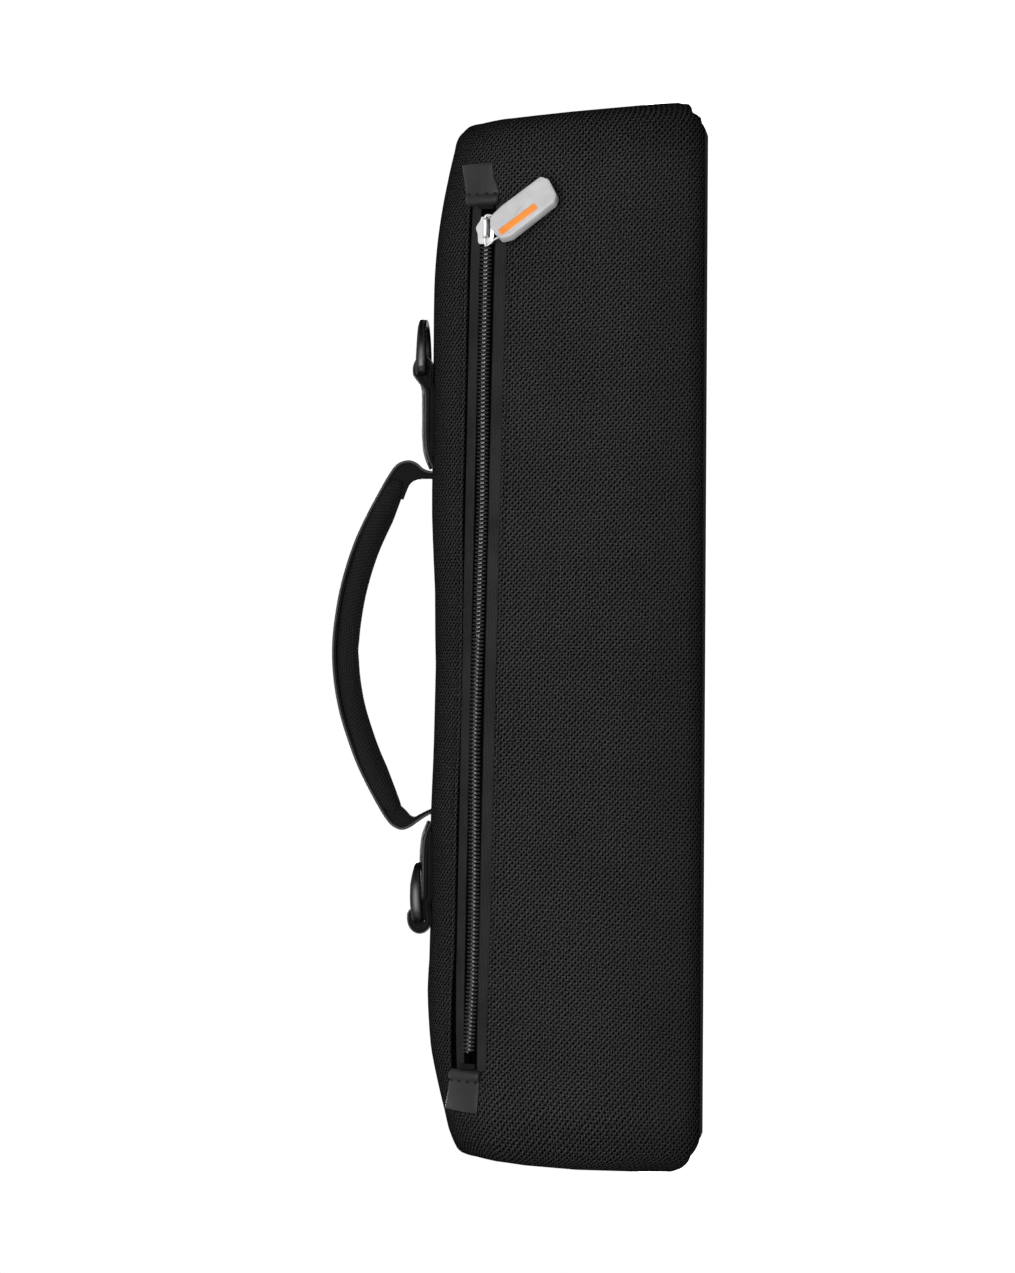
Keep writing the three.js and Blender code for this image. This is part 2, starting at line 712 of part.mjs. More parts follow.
function handleStrapShape() {
  const shape = new THREE.Shape();
  const [cx, cz] = [handleCentre, handleArcHeight];
  const ends = [1, -1].map((side) => [cx + side * handleFoot, handleEndHeight]);
  const right = Math.PI / 2 - handleEndAngle;
  const left = Math.PI / 2 + handleEndAngle;
  shape.absarc(cx, cz, handleArcRadius + leatherOuter, right, left, false);
  shape.absarc(...ends[1], leatherOuter, left, left + Math.PI, false);
  shape.absarc(...ends[1], leatherInner, left + Math.PI, left, true);
  shape.absarc(cx, cz, handleArcRadius + leatherInner, left, right, true);
  shape.absarc(...ends[0], leatherInner, right, right - Math.PI, true);
  shape.absarc(...ends[0], leatherOuter, right - Math.PI, right, false);
  return shape;
}

function handlePlan() {
  const shape = new THREE.Shape();
  const wide = handleLeatherWidth / 2;
  const narrow = handleEndWidth / 2;
  const reach = handleFoot + leatherOuter + padThickness;
  const shoulder = handleFoot * handleWideShare;
  shape.moveTo(-reach, -narrow);
  shape.lineTo(-handleFoot, -narrow);
  shape.lineTo(-shoulder, -wide);
  shape.lineTo(shoulder, -wide);
  shape.lineTo(handleFoot, -narrow);
  shape.lineTo(reach, -narrow);
  shape.lineTo(reach, narrow);
  shape.lineTo(handleFoot, narrow);
  shape.lineTo(shoulder, wide);
  shape.lineTo(-shoulder, wide);
  shape.lineTo(-handleFoot, narrow);
  shape.lineTo(-reach, narrow);
  const geometry = new THREE.ExtrudeGeometry(shape, { depth: crownHeight, bevelEnabled: false });
  return toSolid(geometry.translate(handleCentre, 0, springHeight));
}

const strapSolid = toSolid(plateAcross(handleStrapShape(), handleLeatherWidth, 8));
place('handle_strap', toGeometry(strapSolid.intersect(handlePlan())), materials.leather);

for (const [name, side] of sides) {
  const foot = handleCentre + side * handleFoot;
  const radius = neckPivot - crownHeight - gap;
  const shape = new THREE.Shape();
  shape.absarc(0, neckPivot, radius, Math.PI, 2 * Math.PI, false);
  shape.lineTo(radius, neckPivot + leatherOuter / 2);
  shape.lineTo(-radius, neckPivot + leatherOuter / 2);
  const neck = plateAcross(shape, neckThickness, 5).rotateZ(Math.PI / 2).translate(foot, 0, 0);
  const seatRadius = leatherOuter + gap;
  const seat = new THREE.CylinderGeometry(seatRadius, seatRadius, padWidth, seatSteps)
    .translate(foot, 0, handleEndHeight);
  place(`${name}_handle_neck`, toGeometry(toSolid(neck).subtract(toSolid(seat))), materials.leather);
}

// Ring straps: leather doubled round the bar of a strap ring and laid along the crown
const ringRadius = ringWire / 2;
const eyeBore = ringRadius + gap;
const eyeOuter = eyeBore + ringStrapLeather;
const eyeHeight = crownHeight + gap + eyeOuter;
const strapTop = crownHeight + gap + ringStrapThickness;
const ringSteps = 14;
const ringSides = 8;

function ringStrapShape(start, end, side) {
  const meet = Math.asin((strapTop - eyeHeight) / eyeOuter);
  const shape = new THREE.Shape();
  const low = crownHeight + gap;
  shape.moveTo(side * start, low);
  shape.lineTo(side * end, low);
  const [from, to] = side > 0 ? [-Math.PI / 2, Math.PI - meet] : [-Math.PI / 2, meet];
  shape.absarc(side * end, eyeHeight, eyeOuter, from, side > 0 ? to : to - 2 * Math.PI, side < 0);
  shape.lineTo(side * (start + ringStrapTaper), strapTop);
  shape.lineTo(side * start, low + ringStrapThickness / 2);
  const bore = new THREE.Path();
  bore.absarc(side * end, eyeHeight, eyeBore, 0, 2 * Math.PI, false);
  shape.holes.push(bore);
  return shape;
}

// Strap ring: a D of round wire, lying on the side of its bar that it is turned to
function ringPath() {
  const half = (ringInnerWidth + ringWire) / 2;
  const reach = ringReach - ringRadius;
  const path = [new THREE.Vector3(0, half - ringWire, 0), new THREE.Vector3(0, ringWire - half, 0)];
  for (let i = 0; i <= ringSteps; i += 1) {
    const angle = (i / ringSteps - 0.5) * Math.PI;
    const away = Math.cos(angle) ** ringBowPower;
    const aside = Math.sign(angle) * Math.abs(Math.sin(angle)) ** ringBowPower;
    path.push(new THREE.Vector3(reach * away, half * aside, 0));
  }
  return path;
}

for (const [name, side] of sides) {
  const foot = side * handleCentre + handleFoot;
  const eye = foot + ringDistances[name];
  const shape = ringStrapShape(foot + ringStrapStart, eye, side);
  place(`${name}_ring_strap`, plateAcross(shape, ringStrapWidth, 6), materials.leather);
  const ring = tube(ringPath(), ringRadius, ringSides, true, new THREE.Vector3(0, 0, 1));
  ring.rotateY(-ringLifts[name] * degree);
  place(`${name}_strap_ring`, ring.translate(side * eye, 0, eyeHeight), materials.ring);
}

export default caseGroup;
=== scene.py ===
"""Looks for a zipped soft flute case: woven covers, a coil zip, leather fittings and a padded handle."""

import math

import bpy
import bmesh
import numpy as np
from mathutils import Matrix, Vector


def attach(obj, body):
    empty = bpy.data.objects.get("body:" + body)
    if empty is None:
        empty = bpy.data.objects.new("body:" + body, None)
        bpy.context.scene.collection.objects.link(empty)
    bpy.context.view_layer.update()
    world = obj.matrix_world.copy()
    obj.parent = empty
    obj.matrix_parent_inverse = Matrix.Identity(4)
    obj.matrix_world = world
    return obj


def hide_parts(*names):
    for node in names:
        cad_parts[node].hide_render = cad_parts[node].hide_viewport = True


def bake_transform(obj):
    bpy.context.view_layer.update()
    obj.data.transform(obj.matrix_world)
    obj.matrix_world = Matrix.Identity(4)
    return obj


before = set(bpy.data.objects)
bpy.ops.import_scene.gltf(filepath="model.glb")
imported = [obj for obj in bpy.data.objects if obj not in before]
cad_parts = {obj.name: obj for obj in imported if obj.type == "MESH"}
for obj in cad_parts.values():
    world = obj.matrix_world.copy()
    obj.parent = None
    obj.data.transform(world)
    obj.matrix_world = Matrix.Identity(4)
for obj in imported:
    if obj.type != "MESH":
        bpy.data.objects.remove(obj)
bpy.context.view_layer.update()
scene = bpy.context.scene
scene.view_settings.view_transform = "Standard"
MM = 0.001
QUARTER = math.pi / 2

# Camera: it looks along +Y and is rolled, so that the case stands upright in the picture
PICTURE_LONG, CAMERA_AWAY, CAMERA_ROLL = 525.7, 4000.0, math.radians(0.32)
PICTURE_CENTRE = Vector((0.0, -15.0, 81.5))


def make_camera():
    data = bpy.data.cameras.new("camera")
    data.sensor_width = 36.0
    data.lens = data.sensor_width * CAMERA_AWAY / PICTURE_LONG
    data.clip_end = 60.0
    camera = bpy.data.objects.new("camera", data)
    sine, cosine = math.sin(CAMERA_ROLL), math.cos(CAMERA_ROLL)
    turn = Matrix(((sine, cosine, 0.0), (0.0, 0.0, -1.0), (-cosine, sine, 0.0)))
    place = (PICTURE_CENTRE + Vector((0.0, -CAMERA_AWAY, 0.0))) * MM
    camera.matrix_world = Matrix.Translation(place) @ turn.to_4x4()
    scene.collection.objects.link(camera)
    scene.camera = camera


make_camera()


# Shader building
def fill(node, inputs):
    for key, value in inputs.items():
        if isinstance(value, Value):
            node.id_data.links.new(value.socket, node.inputs[key])
        else:
            node.inputs[key].default_value = value
    return node


def add(tree, kind, inputs=(), **settings):
    node = tree.nodes.new(kind)
    for key, value in settings.items():
        setattr(node, key, value)
    return fill(node, dict(inputs))


class Value:
    """An output of a shader node, with arithmetic."""

    def __init__(self, node, output=0):
        self.socket, self.tree = node.outputs[output], node.id_data

    def calc(self, operation, *others):
        return Value(add(self.tree, "ShaderNodeMath", enumerate((self,) + others), operation=operation))

    def __add__(self, other):
        return self.calc("ADD", other)

    def __sub__(self, other):
        return self.calc("SUBTRACT", other)

    def __mul__(self, other):
        return self.calc("MULTIPLY", other)

    def __pow__(self, other):
        return self.calc("POWER", other)

    def __abs__(self):
        return self.calc("ABSOLUTE")


def blend_colour(share, low, high):
    return Value(add(share.tree, "ShaderNodeMix", {0: share, 6: low, 7: high}, data_type="RGBA"), 2)


def grey(level, tint=0.0):
    return (level * (1 - tint), level, level * (1 + tint), 1.0)


def cloth_place(tree):
    """Millimetres along and across the cloth."""
    place = Value(add(tree, "ShaderNodeUVMap", uv_map="cloth"))
    parts = add(tree, "ShaderNodeSeparateXYZ", {0: place})
    return Value(parts, 0), Value(parts, 1), place


def object_place(tree):
    return Value(add(tree, "ShaderNodeTexCoord"), "Object")


# Painted light kept on the points: painted shade on the covers, painted highlights on the coil's heads
def painted_light_of(tree):
    return Value(add(tree, "ShaderNodeAttribute", attribute_name="painted_light"), 2)


def noise(place, scale, detail=2.0, rough=0.5, output=0):
    inputs = {"Vector": place, "Scale": scale, "Detail": detail, "Roughness": rough}
    return Value(add(place.tree, "ShaderNodeTexNoise", inputs), output)


def spread(value, low, high, start=0.3, end=0.7):
    """The value from start to end, stretched to low and high."""
    return Value(add(value.tree, "ShaderNodeMapRange", {0: value, 1: start, 2: end, 3: low, 4: high}))


def bump(height, distance):
    inputs = {"Height": height, "Distance": distance, "Strength": 1.0}
    return Value(add(height.tree, "ShaderNodeBump", inputs))


def new_look(name, special=0.5, roughness=0.5):
    material = bpy.data.materials.new(name)
    material.use_nodes = True
    shader = material.node_tree.nodes["Principled BSDF"]
    fill(shader, {"Specular IOR Level": special, "Roughness": roughness})
    return material, material.node_tree, shader


def plain_weave(u, v, pitch_u, pitch_v):
    """Height of a plain weave from 0 to 1."""
    wave_u = (u * (math.pi / pitch_u)).calc("SINE")
    wave_v = (v * (math.pi / pitch_v)).calc("SINE")
    over = (wave_u * wave_v).calc("GREATER_THAN", 0.0)
    side_u, side_v = abs(wave_u), abs(wave_v)
    across = side_u ** 0.55 * (side_v ** 0.8 * 0.75 + 0.25)
    along = side_v ** 0.55 * (side_u ** 0.8 * 0.75 + 0.25)
    return (across - along) * over + along


# Turns along and across, size and phase of the waves that make up the coarse weave
WEAVE_WAVES = (
    (1, 1, 19, 0), (1, -1, 8, 0), (2, 0, 10, -140), (0, 2, 13, -166), (3, 1, 5, 60), (3, -1, 7, 109),
)
WEAVE_MEAN = 39.0


def coarse_weave(u, v, pitch_u, pitch_v):
    """A leaning plain weave: how light it is above or below its mean. The weave is real, but these tones are
    painted light: lit yarns lighter, shaded gaps darker, one diagonal stronger under oblique light.
    """
    turn_u, turn_v = u * (math.pi / pitch_u), v * (math.pi / pitch_v)
    total = 0.0
    for times_u, times_v, size, degrees in WEAVE_WAVES:
        turn = turn_u * times_u + turn_v * times_v + math.radians(degrees)
        total = turn.calc("COSINE") * size + total
    return total


def ridge(value, centre, half_width):
    """1 on a line and 0 beyond its half width."""
    return (abs(value - centre) * (-1 / half_width) + 1.0).calc("MAXIMUM", 0.0)


COVER_LEVEL = 0.0158
STITCH_ROW, STITCH_END = 10.2, 180.0


def cover_look():
    material, tree, shader = new_look("woven_cover", 0.0, 0.95)
    u, v, place = cloth_place(tree)
    moved = add(tree, "ShaderNodeSeparateXYZ", {0: noise(place, 0.11, output=1)})
    weave = coarse_weave(Value(moved, 0) * 1.5 + u, Value(moved, 1) * 1.5 + v, 1.30, 1.16)
    change = weave + spread(noise(place, 1.6), -28.0, 28.0) + spread(noise(place, 0.03), -2.0, 2.0)
    for axis, along in enumerate((u, v)):
        yarn = Value(add(tree, "ShaderNodeCombineXYZ", {axis: along * 0.9}))
        change = change + spread(noise(yarn, 1.0), -3.0, 3.0)
    # Painted shade: far from the zip, low on the walls and under the case, the cloth is darker and its weave
    # fainter, as it turns away from the light
    low = spread(abs(v), 1.0, 0.55, 55.0, 100.0)
    # Painted shade from the points darkens the ends and the lower edges
    tone = low * 12.0 + 28.0 + painted_light_of(tree) * -12.0 + change * low
    level = (tone.calc("MAXIMUM", 3.0) * (1 / WEAVE_MEAN)) ** 1.8
    rows = ridge(v, -STITCH_ROW, 0.6).calc("MAXIMUM", ridge(v, STITCH_ROW, 0.6))
    sunk = rows * abs(u).calc("LESS_THAN", STITCH_END)
    height = (weave + 20.0) * 0.025 + noise(place, 6.0) * 0.25 + sunk * -0.9
    fill(shader, {
        "Base Color": blend_colour(level * 0.1, grey(0.0), grey(COVER_LEVEL * 10, 0.01)),
        "Normal": bump(height, 0.00018),
    })
    return material


def leather_look(name, level, roughness, grain, special=0.2):
    material, tree, shader = new_look(name, special)
    place = object_place(tree)
    inputs = {"Vector": place, "Scale": grain}
    pores = Value(add(tree, "ShaderNodeTexVoronoi", inputs, feature="DISTANCE_TO_EDGE"))
    fold = noise(place, grain * 0.22, 3.0)
    share = spread(noise(place, 60.0), 0.0, 0.5) + spread(fold, 0.0, 0.3)
    fill(shader, {
        "Base Color": blend_colour(share, grey(level * 0.75), grey(level * 1.45)),
        "Roughness": spread(fold, roughness - 0.08, roughness + 0.1),
        "Normal": bump(pores.calc("MINIMUM", 0.25) * 3.0 + fold, 0.00006),
    })
    return material


def coil_look():
    """Nylon strand, glossier on its heads, whose tips are painted near white as highlights."""
    material, tree, shader = new_look("nylon_coil", 0.2)
    place = object_place(tree)
    head = painted_light_of(tree)
    # Painted highlight: near-white colour on the tips of the heads
    share = head ** 2.0 * spread(noise(place, 300.0), 0.7, 1.1)
    fill(shader, {
        "Base Color": blend_colour(share, grey(0.02), grey(0.75)),
        "Roughness": head * -0.25 + 0.5,
        "Normal": bump(noise(place, 2500.0), 0.00002),
    })
    return material


def fine_cloth_look(name, level, pitch_u, pitch_v, depth, roughness=0.85, special=0.1, shaded=0.0):
    """shaded: how far from the zip's middle the tape comes out of the coil's painted shade. The tape's
    colour is also painted dark near its outer edge, as the shadow of the cover's folded hem.
    """
    material, tree, shader = new_look(name, special, roughness)
    u, v, place = cloth_place(tree)
    height = plain_weave(u, v, pitch_u, pitch_v)
    share = height + spread(noise(place, 2.2, 3.0), -0.2, 0.2) + spread(noise(place, 0.05), -0.12, 0.12)
    low = level * 0.45
    if shaded:
        low = level * 0.04
        # Painted shade under the coil, and painted shadow of the hem near 7.9 from the middle
        nearest = (abs(v) - shaded).calc("MINIMUM", abs(v) * -1.0 + 7.9)
        share = Value(add(tree, "ShaderNodeClamp", {0: nearest * 3.0})) - 1.0 + share
    fill(shader, {
        "Base Color": blend_colour(share, grey(low), grey(level * 1.3)),
        "Normal": bump(height, depth),
    })
    return material


def knit_look():
    """Spacer mesh: rows of small openings between thick fuzzy ribs."""
    material, tree, shader = new_look("knit_mesh", 0.2, 0.9)
    u, v, place = cloth_place(tree)
    height = plain_weave(v * 0.5 + u, v, 1.5, 1.05)
    fuzz = noise(place, 1.9, 4.0, 0.7)
    share = height ** 1.5 * spread(fuzz, 0.2, 1.0)
    fill(shader, {
        "Base Color": blend_colour(share, grey(0.0015), grey(0.022)),
        "Normal": bump(fuzz * 0.8 + height, 0.0006),
    })
    return material


def smooth_look(name, colour, roughness, scratch, special=0.5, metal=0.0):
    """Metal or moulded plastic with faint scuffing in its colour and gloss."""
    material, tree, shader = new_look(name, special)
    place = object_place(tree)
    wide = noise(place, 120.0)
    low, high = (tuple(min(c * share, 1.0) for c in colour) + (1.0,) for share in (0.86, 1.08))
    fill(shader, {
        "Base Color": blend_colour(spread(wide, 0.0, 1.0), low, high),
        "Roughness": spread(wide, roughness * 0.8, roughness * 1.25),
        "Normal": bump(noise(place, 900.0, 3.0), scratch),
        "Metallic": metal,
    })
    return material


LOOKS = {
    "cover": cover_look(),
    "leather": leather_look("black_leather_face", 0.006, 0.6, 2600.0, 0.05),
    "leather_edge": leather_look("black_leather_edge", 0.048, 0.55, 3600.0),
    "tab": leather_look("smooth_tab_leather", 0.014, 0.5, 1500.0, 0.25),
    "base": fine_cloth_look("base_cloth_weave", 0.014, 0.55, 0.55, 0.00010, 0.6),
    "tape": fine_cloth_look("zip_tape_weave", 0.032, 0.42, 0.60, 0.00010, special=0.0, shaded=3.1),
    "lining": fine_cloth_look("lining_weave", 0.045, 0.5, 0.5, 0.00008),
    "thread": fine_cloth_look("black_thread", 0.008, 0.35, 0.35, 0.00008, 0.6),
    "knit": knit_look(),
    "coil": coil_look(),
    "ring": smooth_look("black_ring_paint", (0.004, 0.004, 0.004), 0.3, 0.00001, 0.3),
    "chrome": smooth_look("bright_chrome", (0.64, 0.64, 0.65), 0.40, 0.000002, metal=1.0),
    "pull": smooth_look("grey_pull_moulding", (0.55, 0.55, 0.56), 0.42, 0.00003, 0.3),
    "orange": smooth_look("orange_pull_inlay", (0.98, 0.30, 0.05), 0.45, 0.00003),
}


# Lines
def unit(vectors):
    return vectors / np.maximum(np.linalg.norm(vectors, axis=-1, keepdims=True), 1e-9)


def floats(*values):
    return np.broadcast_arrays(*(np.asarray(value, float) for value in values))


def ramp(value, start, end):
    """0 up to the start, 1 from the end on."""
    return np.clip((value - start) / (end - start), 0, 1)


def run_of(line):
    steps = np.linalg.norm(np.diff(line, axis=0), axis=1)
    return np.concatenate([[0.0], np.cumsum(steps)])


def along_line(line, places, values=None):
    """The line's points, or values held at them, at places along its run."""
    values = line if values is None else values
    run = run_of(line)
    return np.stack([np.interp(places, run, values[:, k]) for k in range(values.shape[1])], -1)


def smooth_path(points, count):
    """An even, smooth path through points."""
    points = np.asarray(points, float)
    spline = [points[0]]
    for k in range(len(points) - 1):
        before, after = points[max(k - 1, 0)], points[min(k + 2, len(points) - 1)]
        a, b = points[k], points[k + 1]
        for t in np.linspace(0, 1, 13)[1:]:
            spline.append(0.5 * (
                2 * a + (b - before) * t + (2 * before - 5 * a + 4 * b - after) * t ** 2
                + (3 * a - before - 3 * b + after) * t ** 3
            ))
    line = np.array(spline)
    return along_line(line, np.linspace(0, run_of(line)[-1], count))


def path_in_plane(spots, count):
    """A smooth path through spots of X and Z."""
    return smooth_path([(spot[0], 0.0, spot[1]) for spot in spots], count)


def out_of(path, aside=(0.0, 1.0, 0.0)):
    """Square to the path and to the way aside."""
    return unit(np.cross(np.gradient(path, axis=0), np.broadcast_to(np.asarray(aside, float), path.shape)))


def boxy(turns, power):
    """A circle, squared off by a power."""
    spots = np.stack([np.cos(turns), np.sin(turns)])
    return np.sign(spots) * np.abs(spots) ** power


# Case form, in millimetres: the same section and zip line as the solids
END_ROUNDING, END_START, SLOT_EDGE = 10.0, 210.0, 184.2
CROWN, SPRING, CROWN_LEVEL_END, CROWN_END, CROWN_DROP = 112.7, 80.7, 140.0, 80.0, 12.0
HALF_BOTTOM, HALF_SHOULDER, CORNER, LEAN = 36.0, 33.0, 10.5, 0.042
SEAM_TURN = math.radians(60.0)
ZIP_ORIGIN = np.array([0.0, -30.01, 94.0])
ZIP_ALONG = np.array([0.999836, -0.007717, -0.016374])
ZIP_ACROSS = np.array([0.018102, 0.426234, 0.904432])
ZIP_OUT = np.array([0.0, -0.90458, 0.426304])
SLOT_HALF, TAPE_END, COIL_END = 8.9, 187.0, 171.0
COIL_BASE, COIL_TOP, COIL_PITCH = -1.2, 0.7, 1.65
LINING_INSET, LINING_SLOT = 8.8, 7.3
BEND_START, BEND_END = 172.0, 144.0
SIDES = ((1, "right"), (-1, "left"))


def station(x, rows):
    """Points from Y and Z in the section at x, which leans in towards the crown."""
    return np.concatenate([(x * (1 - LEAN * (rows[..., 1] - CORNER) / CROWN))[..., None], rows], -1)


def arch(x, depth, turn):
    """Y and Z on the arch: turn is 0 at the front spring line and pi at the back one."""
    x, depth, turn = floats(x, depth, turn)
    past = np.maximum(np.abs(x) - CROWN_LEVEL_END, 0.0)
    rise = CROWN - CROWN_DROP * (past / CROWN_END) ** 2 - SPRING - depth
    return np.stack([-(HALF_SHOULDER - depth) * np.cos(turn), SPRING + rise * np.sin(turn)], -1)


def arch_turn(x, depth, v):
    """The turns at which the sections at x cross the lines v of the zip."""
    x, depth, v = floats(x, depth, v)
    low, high = np.zeros(x.shape), np.full(x.shape, QUARTER)
    for _ in range(30):
        middle = (low + high) / 2
        under = (station(x, arch(x, depth, middle)) - ZIP_ORIGIN) @ ZIP_ACROSS < v
        low, high = np.where(under, middle, low), np.where(under, high, middle)
    return low


def zip_surface(x, depth, v):
    """Points on the case beside the zip, at a depth under the cover and at v across."""
    x, depth, v = floats(x, depth, v)
    return station(x, arch(x, depth, arch_turn(x, depth, v)))


def zip_point(u, v, w):
    u, v, w = floats(u, v, w)
    return ZIP_ORIGIN + u[..., None] * ZIP_ALONG + v[..., None] * ZIP_ACROSS + w[..., None] * ZIP_OUT


def corner_arc(depth, turns):
    """Y and Z round the back bottom corner."""
    radius = max(CORNER - depth, 0.5)
    middle = HALF_BOTTOM - depth - radius
    return np.stack([middle + radius * np.cos(turns), depth + radius - radius * np.sin(turns)], -1)


def wall_down(depth, side):
    """From the spring line down the wall and round the bottom corner to the seam."""
    corner = corner_arc(depth, np.linspace(0, SEAM_TURN, 24)) * np.array([side, 1.0])
    return np.concatenate([[[side * (HALF_SHOULDER - depth), SPRING]], corner])


NEAR = np.array([0, 0.5, 1.1, 1.8, 2.6, 3.4, 4.4, 5.6, 7.2, 9.2])
LAST = np.array([11.5, 9.0, 6.8, 5.0, 3.6, 2.5, 1.6, 0.9, 0.4, 0.0])
ROWS_FRONT, ROWS_TOP, ROWS_BACK, ROWS_SLOT, ROWS_UNDER = 30, 36, 30, 5, 12
FIRST_SLOT = len(NEAR) + ROWS_FRONT + len(LAST)
FIRST_TOP = FIRST_SLOT + ROWS_SLOT
FIRST_BACK = FIRST_TOP + len(NEAR) + ROWS_TOP
FIRST_UNDER = FIRST_BACK + ROWS_BACK + len(LAST)


def section_rows(x, inset, draw, slot_half):
    """Rows round the section at x, and how far each lies from the zip line along the cloth."""
    depth = inset + draw
    held = min(max(x, -SLOT_EDGE), SLOT_EDGE)
    low, high = (float(arch_turn(held, inset, v)) for v in (-slot_half, slot_half))
    front = np.concatenate([arch(x, depth, np.linspace(low, 0, 16)), wall_down(depth, -1)[1:]])
    total = run_of(front)[-1]
    even = np.linspace(NEAR[-1], total - LAST[0], ROWS_FRONT + 2)[1:-1]
    run = np.concatenate([NEAR, even, total - LAST])
    front_rows, front_v = along_line(front, run)[::-1], -(slot_half + run)[::-1]
    slot_rows = arch(x, depth, np.linspace(low, high, ROWS_SLOT + 2)[1:-1])
    slot_v = np.linspace(-slot_half, slot_half, ROWS_SLOT + 2)[1:-1]
    top = arch(x, depth, np.linspace(high, math.pi, 80))
    total = run_of(top)[-1]
    run = np.concatenate([NEAR, np.linspace(NEAR[-1], total, ROWS_TOP + 1)[1:]])
    top_rows, top_v = along_line(top, run), slot_half + run
    back = wall_down(depth, 1)
    wall = run_of(back)[-1]
    run = np.concatenate([np.linspace(0, wall - LAST[0], ROWS_BACK + 2)[1:-1], wall - LAST])
    back_rows, back_v = along_line(back, run), slot_half + total + run
    corner = corner_arc(depth, SEAM_TURN + (QUARTER - SEAM_TURN) * np.array([0.1, 0.3, 0.6, 1.0]))
    flat_y = np.linspace(corner[-1, 0], -corner[-1, 0], ROWS_UNDER + 1)[1:-1]
    flat = np.stack([flat_y, np.full(len(flat_y), depth)], -1)
    under_rows = np.concatenate([corner, flat, corner[::-1] * np.array([-1.0, 1.0])])
    under_v = back_v[-1] + run_of(np.concatenate([back_rows[-1:], under_rows]))[1:]
    rows = np.concatenate([front_rows, slot_rows, top_rows, back_rows, under_rows])
    return rows, np.concatenate([front_v, slot_v, top_v, back_v, under_v])


CAP_SCALES = (0.93, 0.84, 0.7, 0.52, 0.34, 0.17, 0.04)
CAPS = len(CAP_SCALES)
SEAM_END = 215.6


def skin_grid(inset, slot_half, step, end_turns):
    """Points and cloth places of a closed skin: stations along the case, then rings over each end."""
    inner = np.linspace(0, SLOT_EDGE, int(SLOT_EDGE / step) + 1)
    straight = np.concatenate([
        inner,
        np.linspace(SLOT_EDGE, 200.0, int(16 / step) + 1)[1:],
        np.linspace(200.0, END_START, int(20 / step) + 1)[1:],
    ])
    radius = END_ROUNDING - inset
    half = [(x, 0.0, x) for x in straight]
    for angle in np.arange(1, end_turns + 1) / end_turns * QUARTER:
        along, draw = radius * math.sin(angle), radius * (1 - math.cos(angle))
        half.append((END_START + along, draw, END_START + radius * angle))
    spots = [(-x, draw, -u) for x, draw, u in reversed(half[1:])] + half
    points, cloth = [], []
    for x, draw, u in spots:
        rows, v = section_rows(x, inset, draw, slot_half)
        if draw > 0.0:
            v = section_rows(math.copysign(END_START, x), inset, 0.0, slot_half)[1]
        points.append(station(x, rows))
        cloth.append(np.stack([np.full(len(v), u), v], -1))
    for side, place in ((-1, 0), (1, -1)):
        rim, rim_cloth = points[place], cloth[place]
        middle = rim.mean(0)
        for scale in CAP_SCALES:
            ring = middle + (rim - middle) * scale
            ring[:, 0] += side * 0.3 * (1 - scale ** 2)
            away = np.linalg.norm((rim - ring)[:, 1:], axis=1)
            at = len(points) if side > 0 else 0
            points.insert(at, ring)
            cloth.insert(at, rim_cloth + np.stack([side * away, np.zeros(len(away))], -1))
    draws = np.pad([draw for _, draw, _ in spots], CAPS, mode="edge")
    return np.array(points), np.array(cloth), draws[:, None], len(inner) - 1


# Turns, in degrees below the level, and how far the gathered cloth reaches from the corner's centre
GATHERS = (
    (
        1, 206.5, 14.2,
        (0, 5, 11, 18, 25, 33, 35, 42, 48, 57, 65, 70, 76, 83, 90),
        (14.5, 14.3, 13.2, 13.9, 14.4, 13.6, 12.1, 12.3, 12.7, 13.3, 12.5, 12.9, 13.2, 13.6, 14.2),
    ),
    (
        -1, 204.0, 17.0,
        (0, 18, 31, 40, 47, 53, 62, 69, 76, 82, 90),
        (17.0, 16.3, 16.3, 16.0, 15.6, 14.9, 15.3, 15.5, 15.8, 15.8, 17.0),
    ),
)


def end_corners(points):
    """Gathers the cloth round the lower corners of both ends, in small lobes."""
    moved = points.copy()
    for side, centre_x, centre_z, turns, reaches in GATHERS:
        out = side * moved[..., 0] - centre_x
        down = centre_z - moved[..., 2]
        inside = (out > 0) & (down > 0)
        turn = np.degrees(np.arctan2(down, out))
        reach = np.hypot(out, down)
        calm = np.interp(turn, (0, 45, 90), (reaches[0], min(reaches) - 0.3, reaches[-1]))
        share = ramp(np.abs(moved[..., 1]), 0.0, 16.0)
        limit = calm + (np.interp(turn, turns, reaches) - calm) * share
        shrink = np.where(inside & (reach > limit), limit / np.maximum(reach, 1e-6), 1.0)
        moved[..., 0] = np.where(inside, side * (centre_x + out * shrink), moved[..., 0])
        moved[..., 2] = np.where(inside, centre_z - down * shrink, moved[..., 2])
    return moved


# How far the crown lies above its plain curve along X, and each end beyond its own over Z
CROWN_LIFTS = np.array([
    (-208, 2.6), (-196, 1.9), (-183, 2.1), (-171, 2.4), (-158, 1.8), (-146, 1.4), (-134, 0.5), (-120, 0.2),
    (-75, 0.2), (-63, -0.2), (-53, -0.6), (-43, -0.9), (-12, -1.5), (0, -1.2), (19, -1.0), (29, -0.5),
    (40, 0.0), (50, 0.4), (60, 0.45), (75, 0.3), (139, 0.1), (164, 0.4), (188, 0.5), (201, 0.8), (208, 1.8),
])
RIGHT_END = np.array([
    (0, 0), (10, 0.4), (21, 0.7), (39, 0.5), (56, 0.3), (71, -0.15), (84, -0.65), (93, -1.5), (98, -1.2),
    (101, -1.1), (104, 0.2),
])
LEFT_END = np.array([
    (0, 0), (15, 0.3), (30, 1.6), (52, 2.9), (73, 3.0), (85, 2.3), (93, 1.4), (98, 1.5), (101, 2.0),
    (104, 0.3),
])


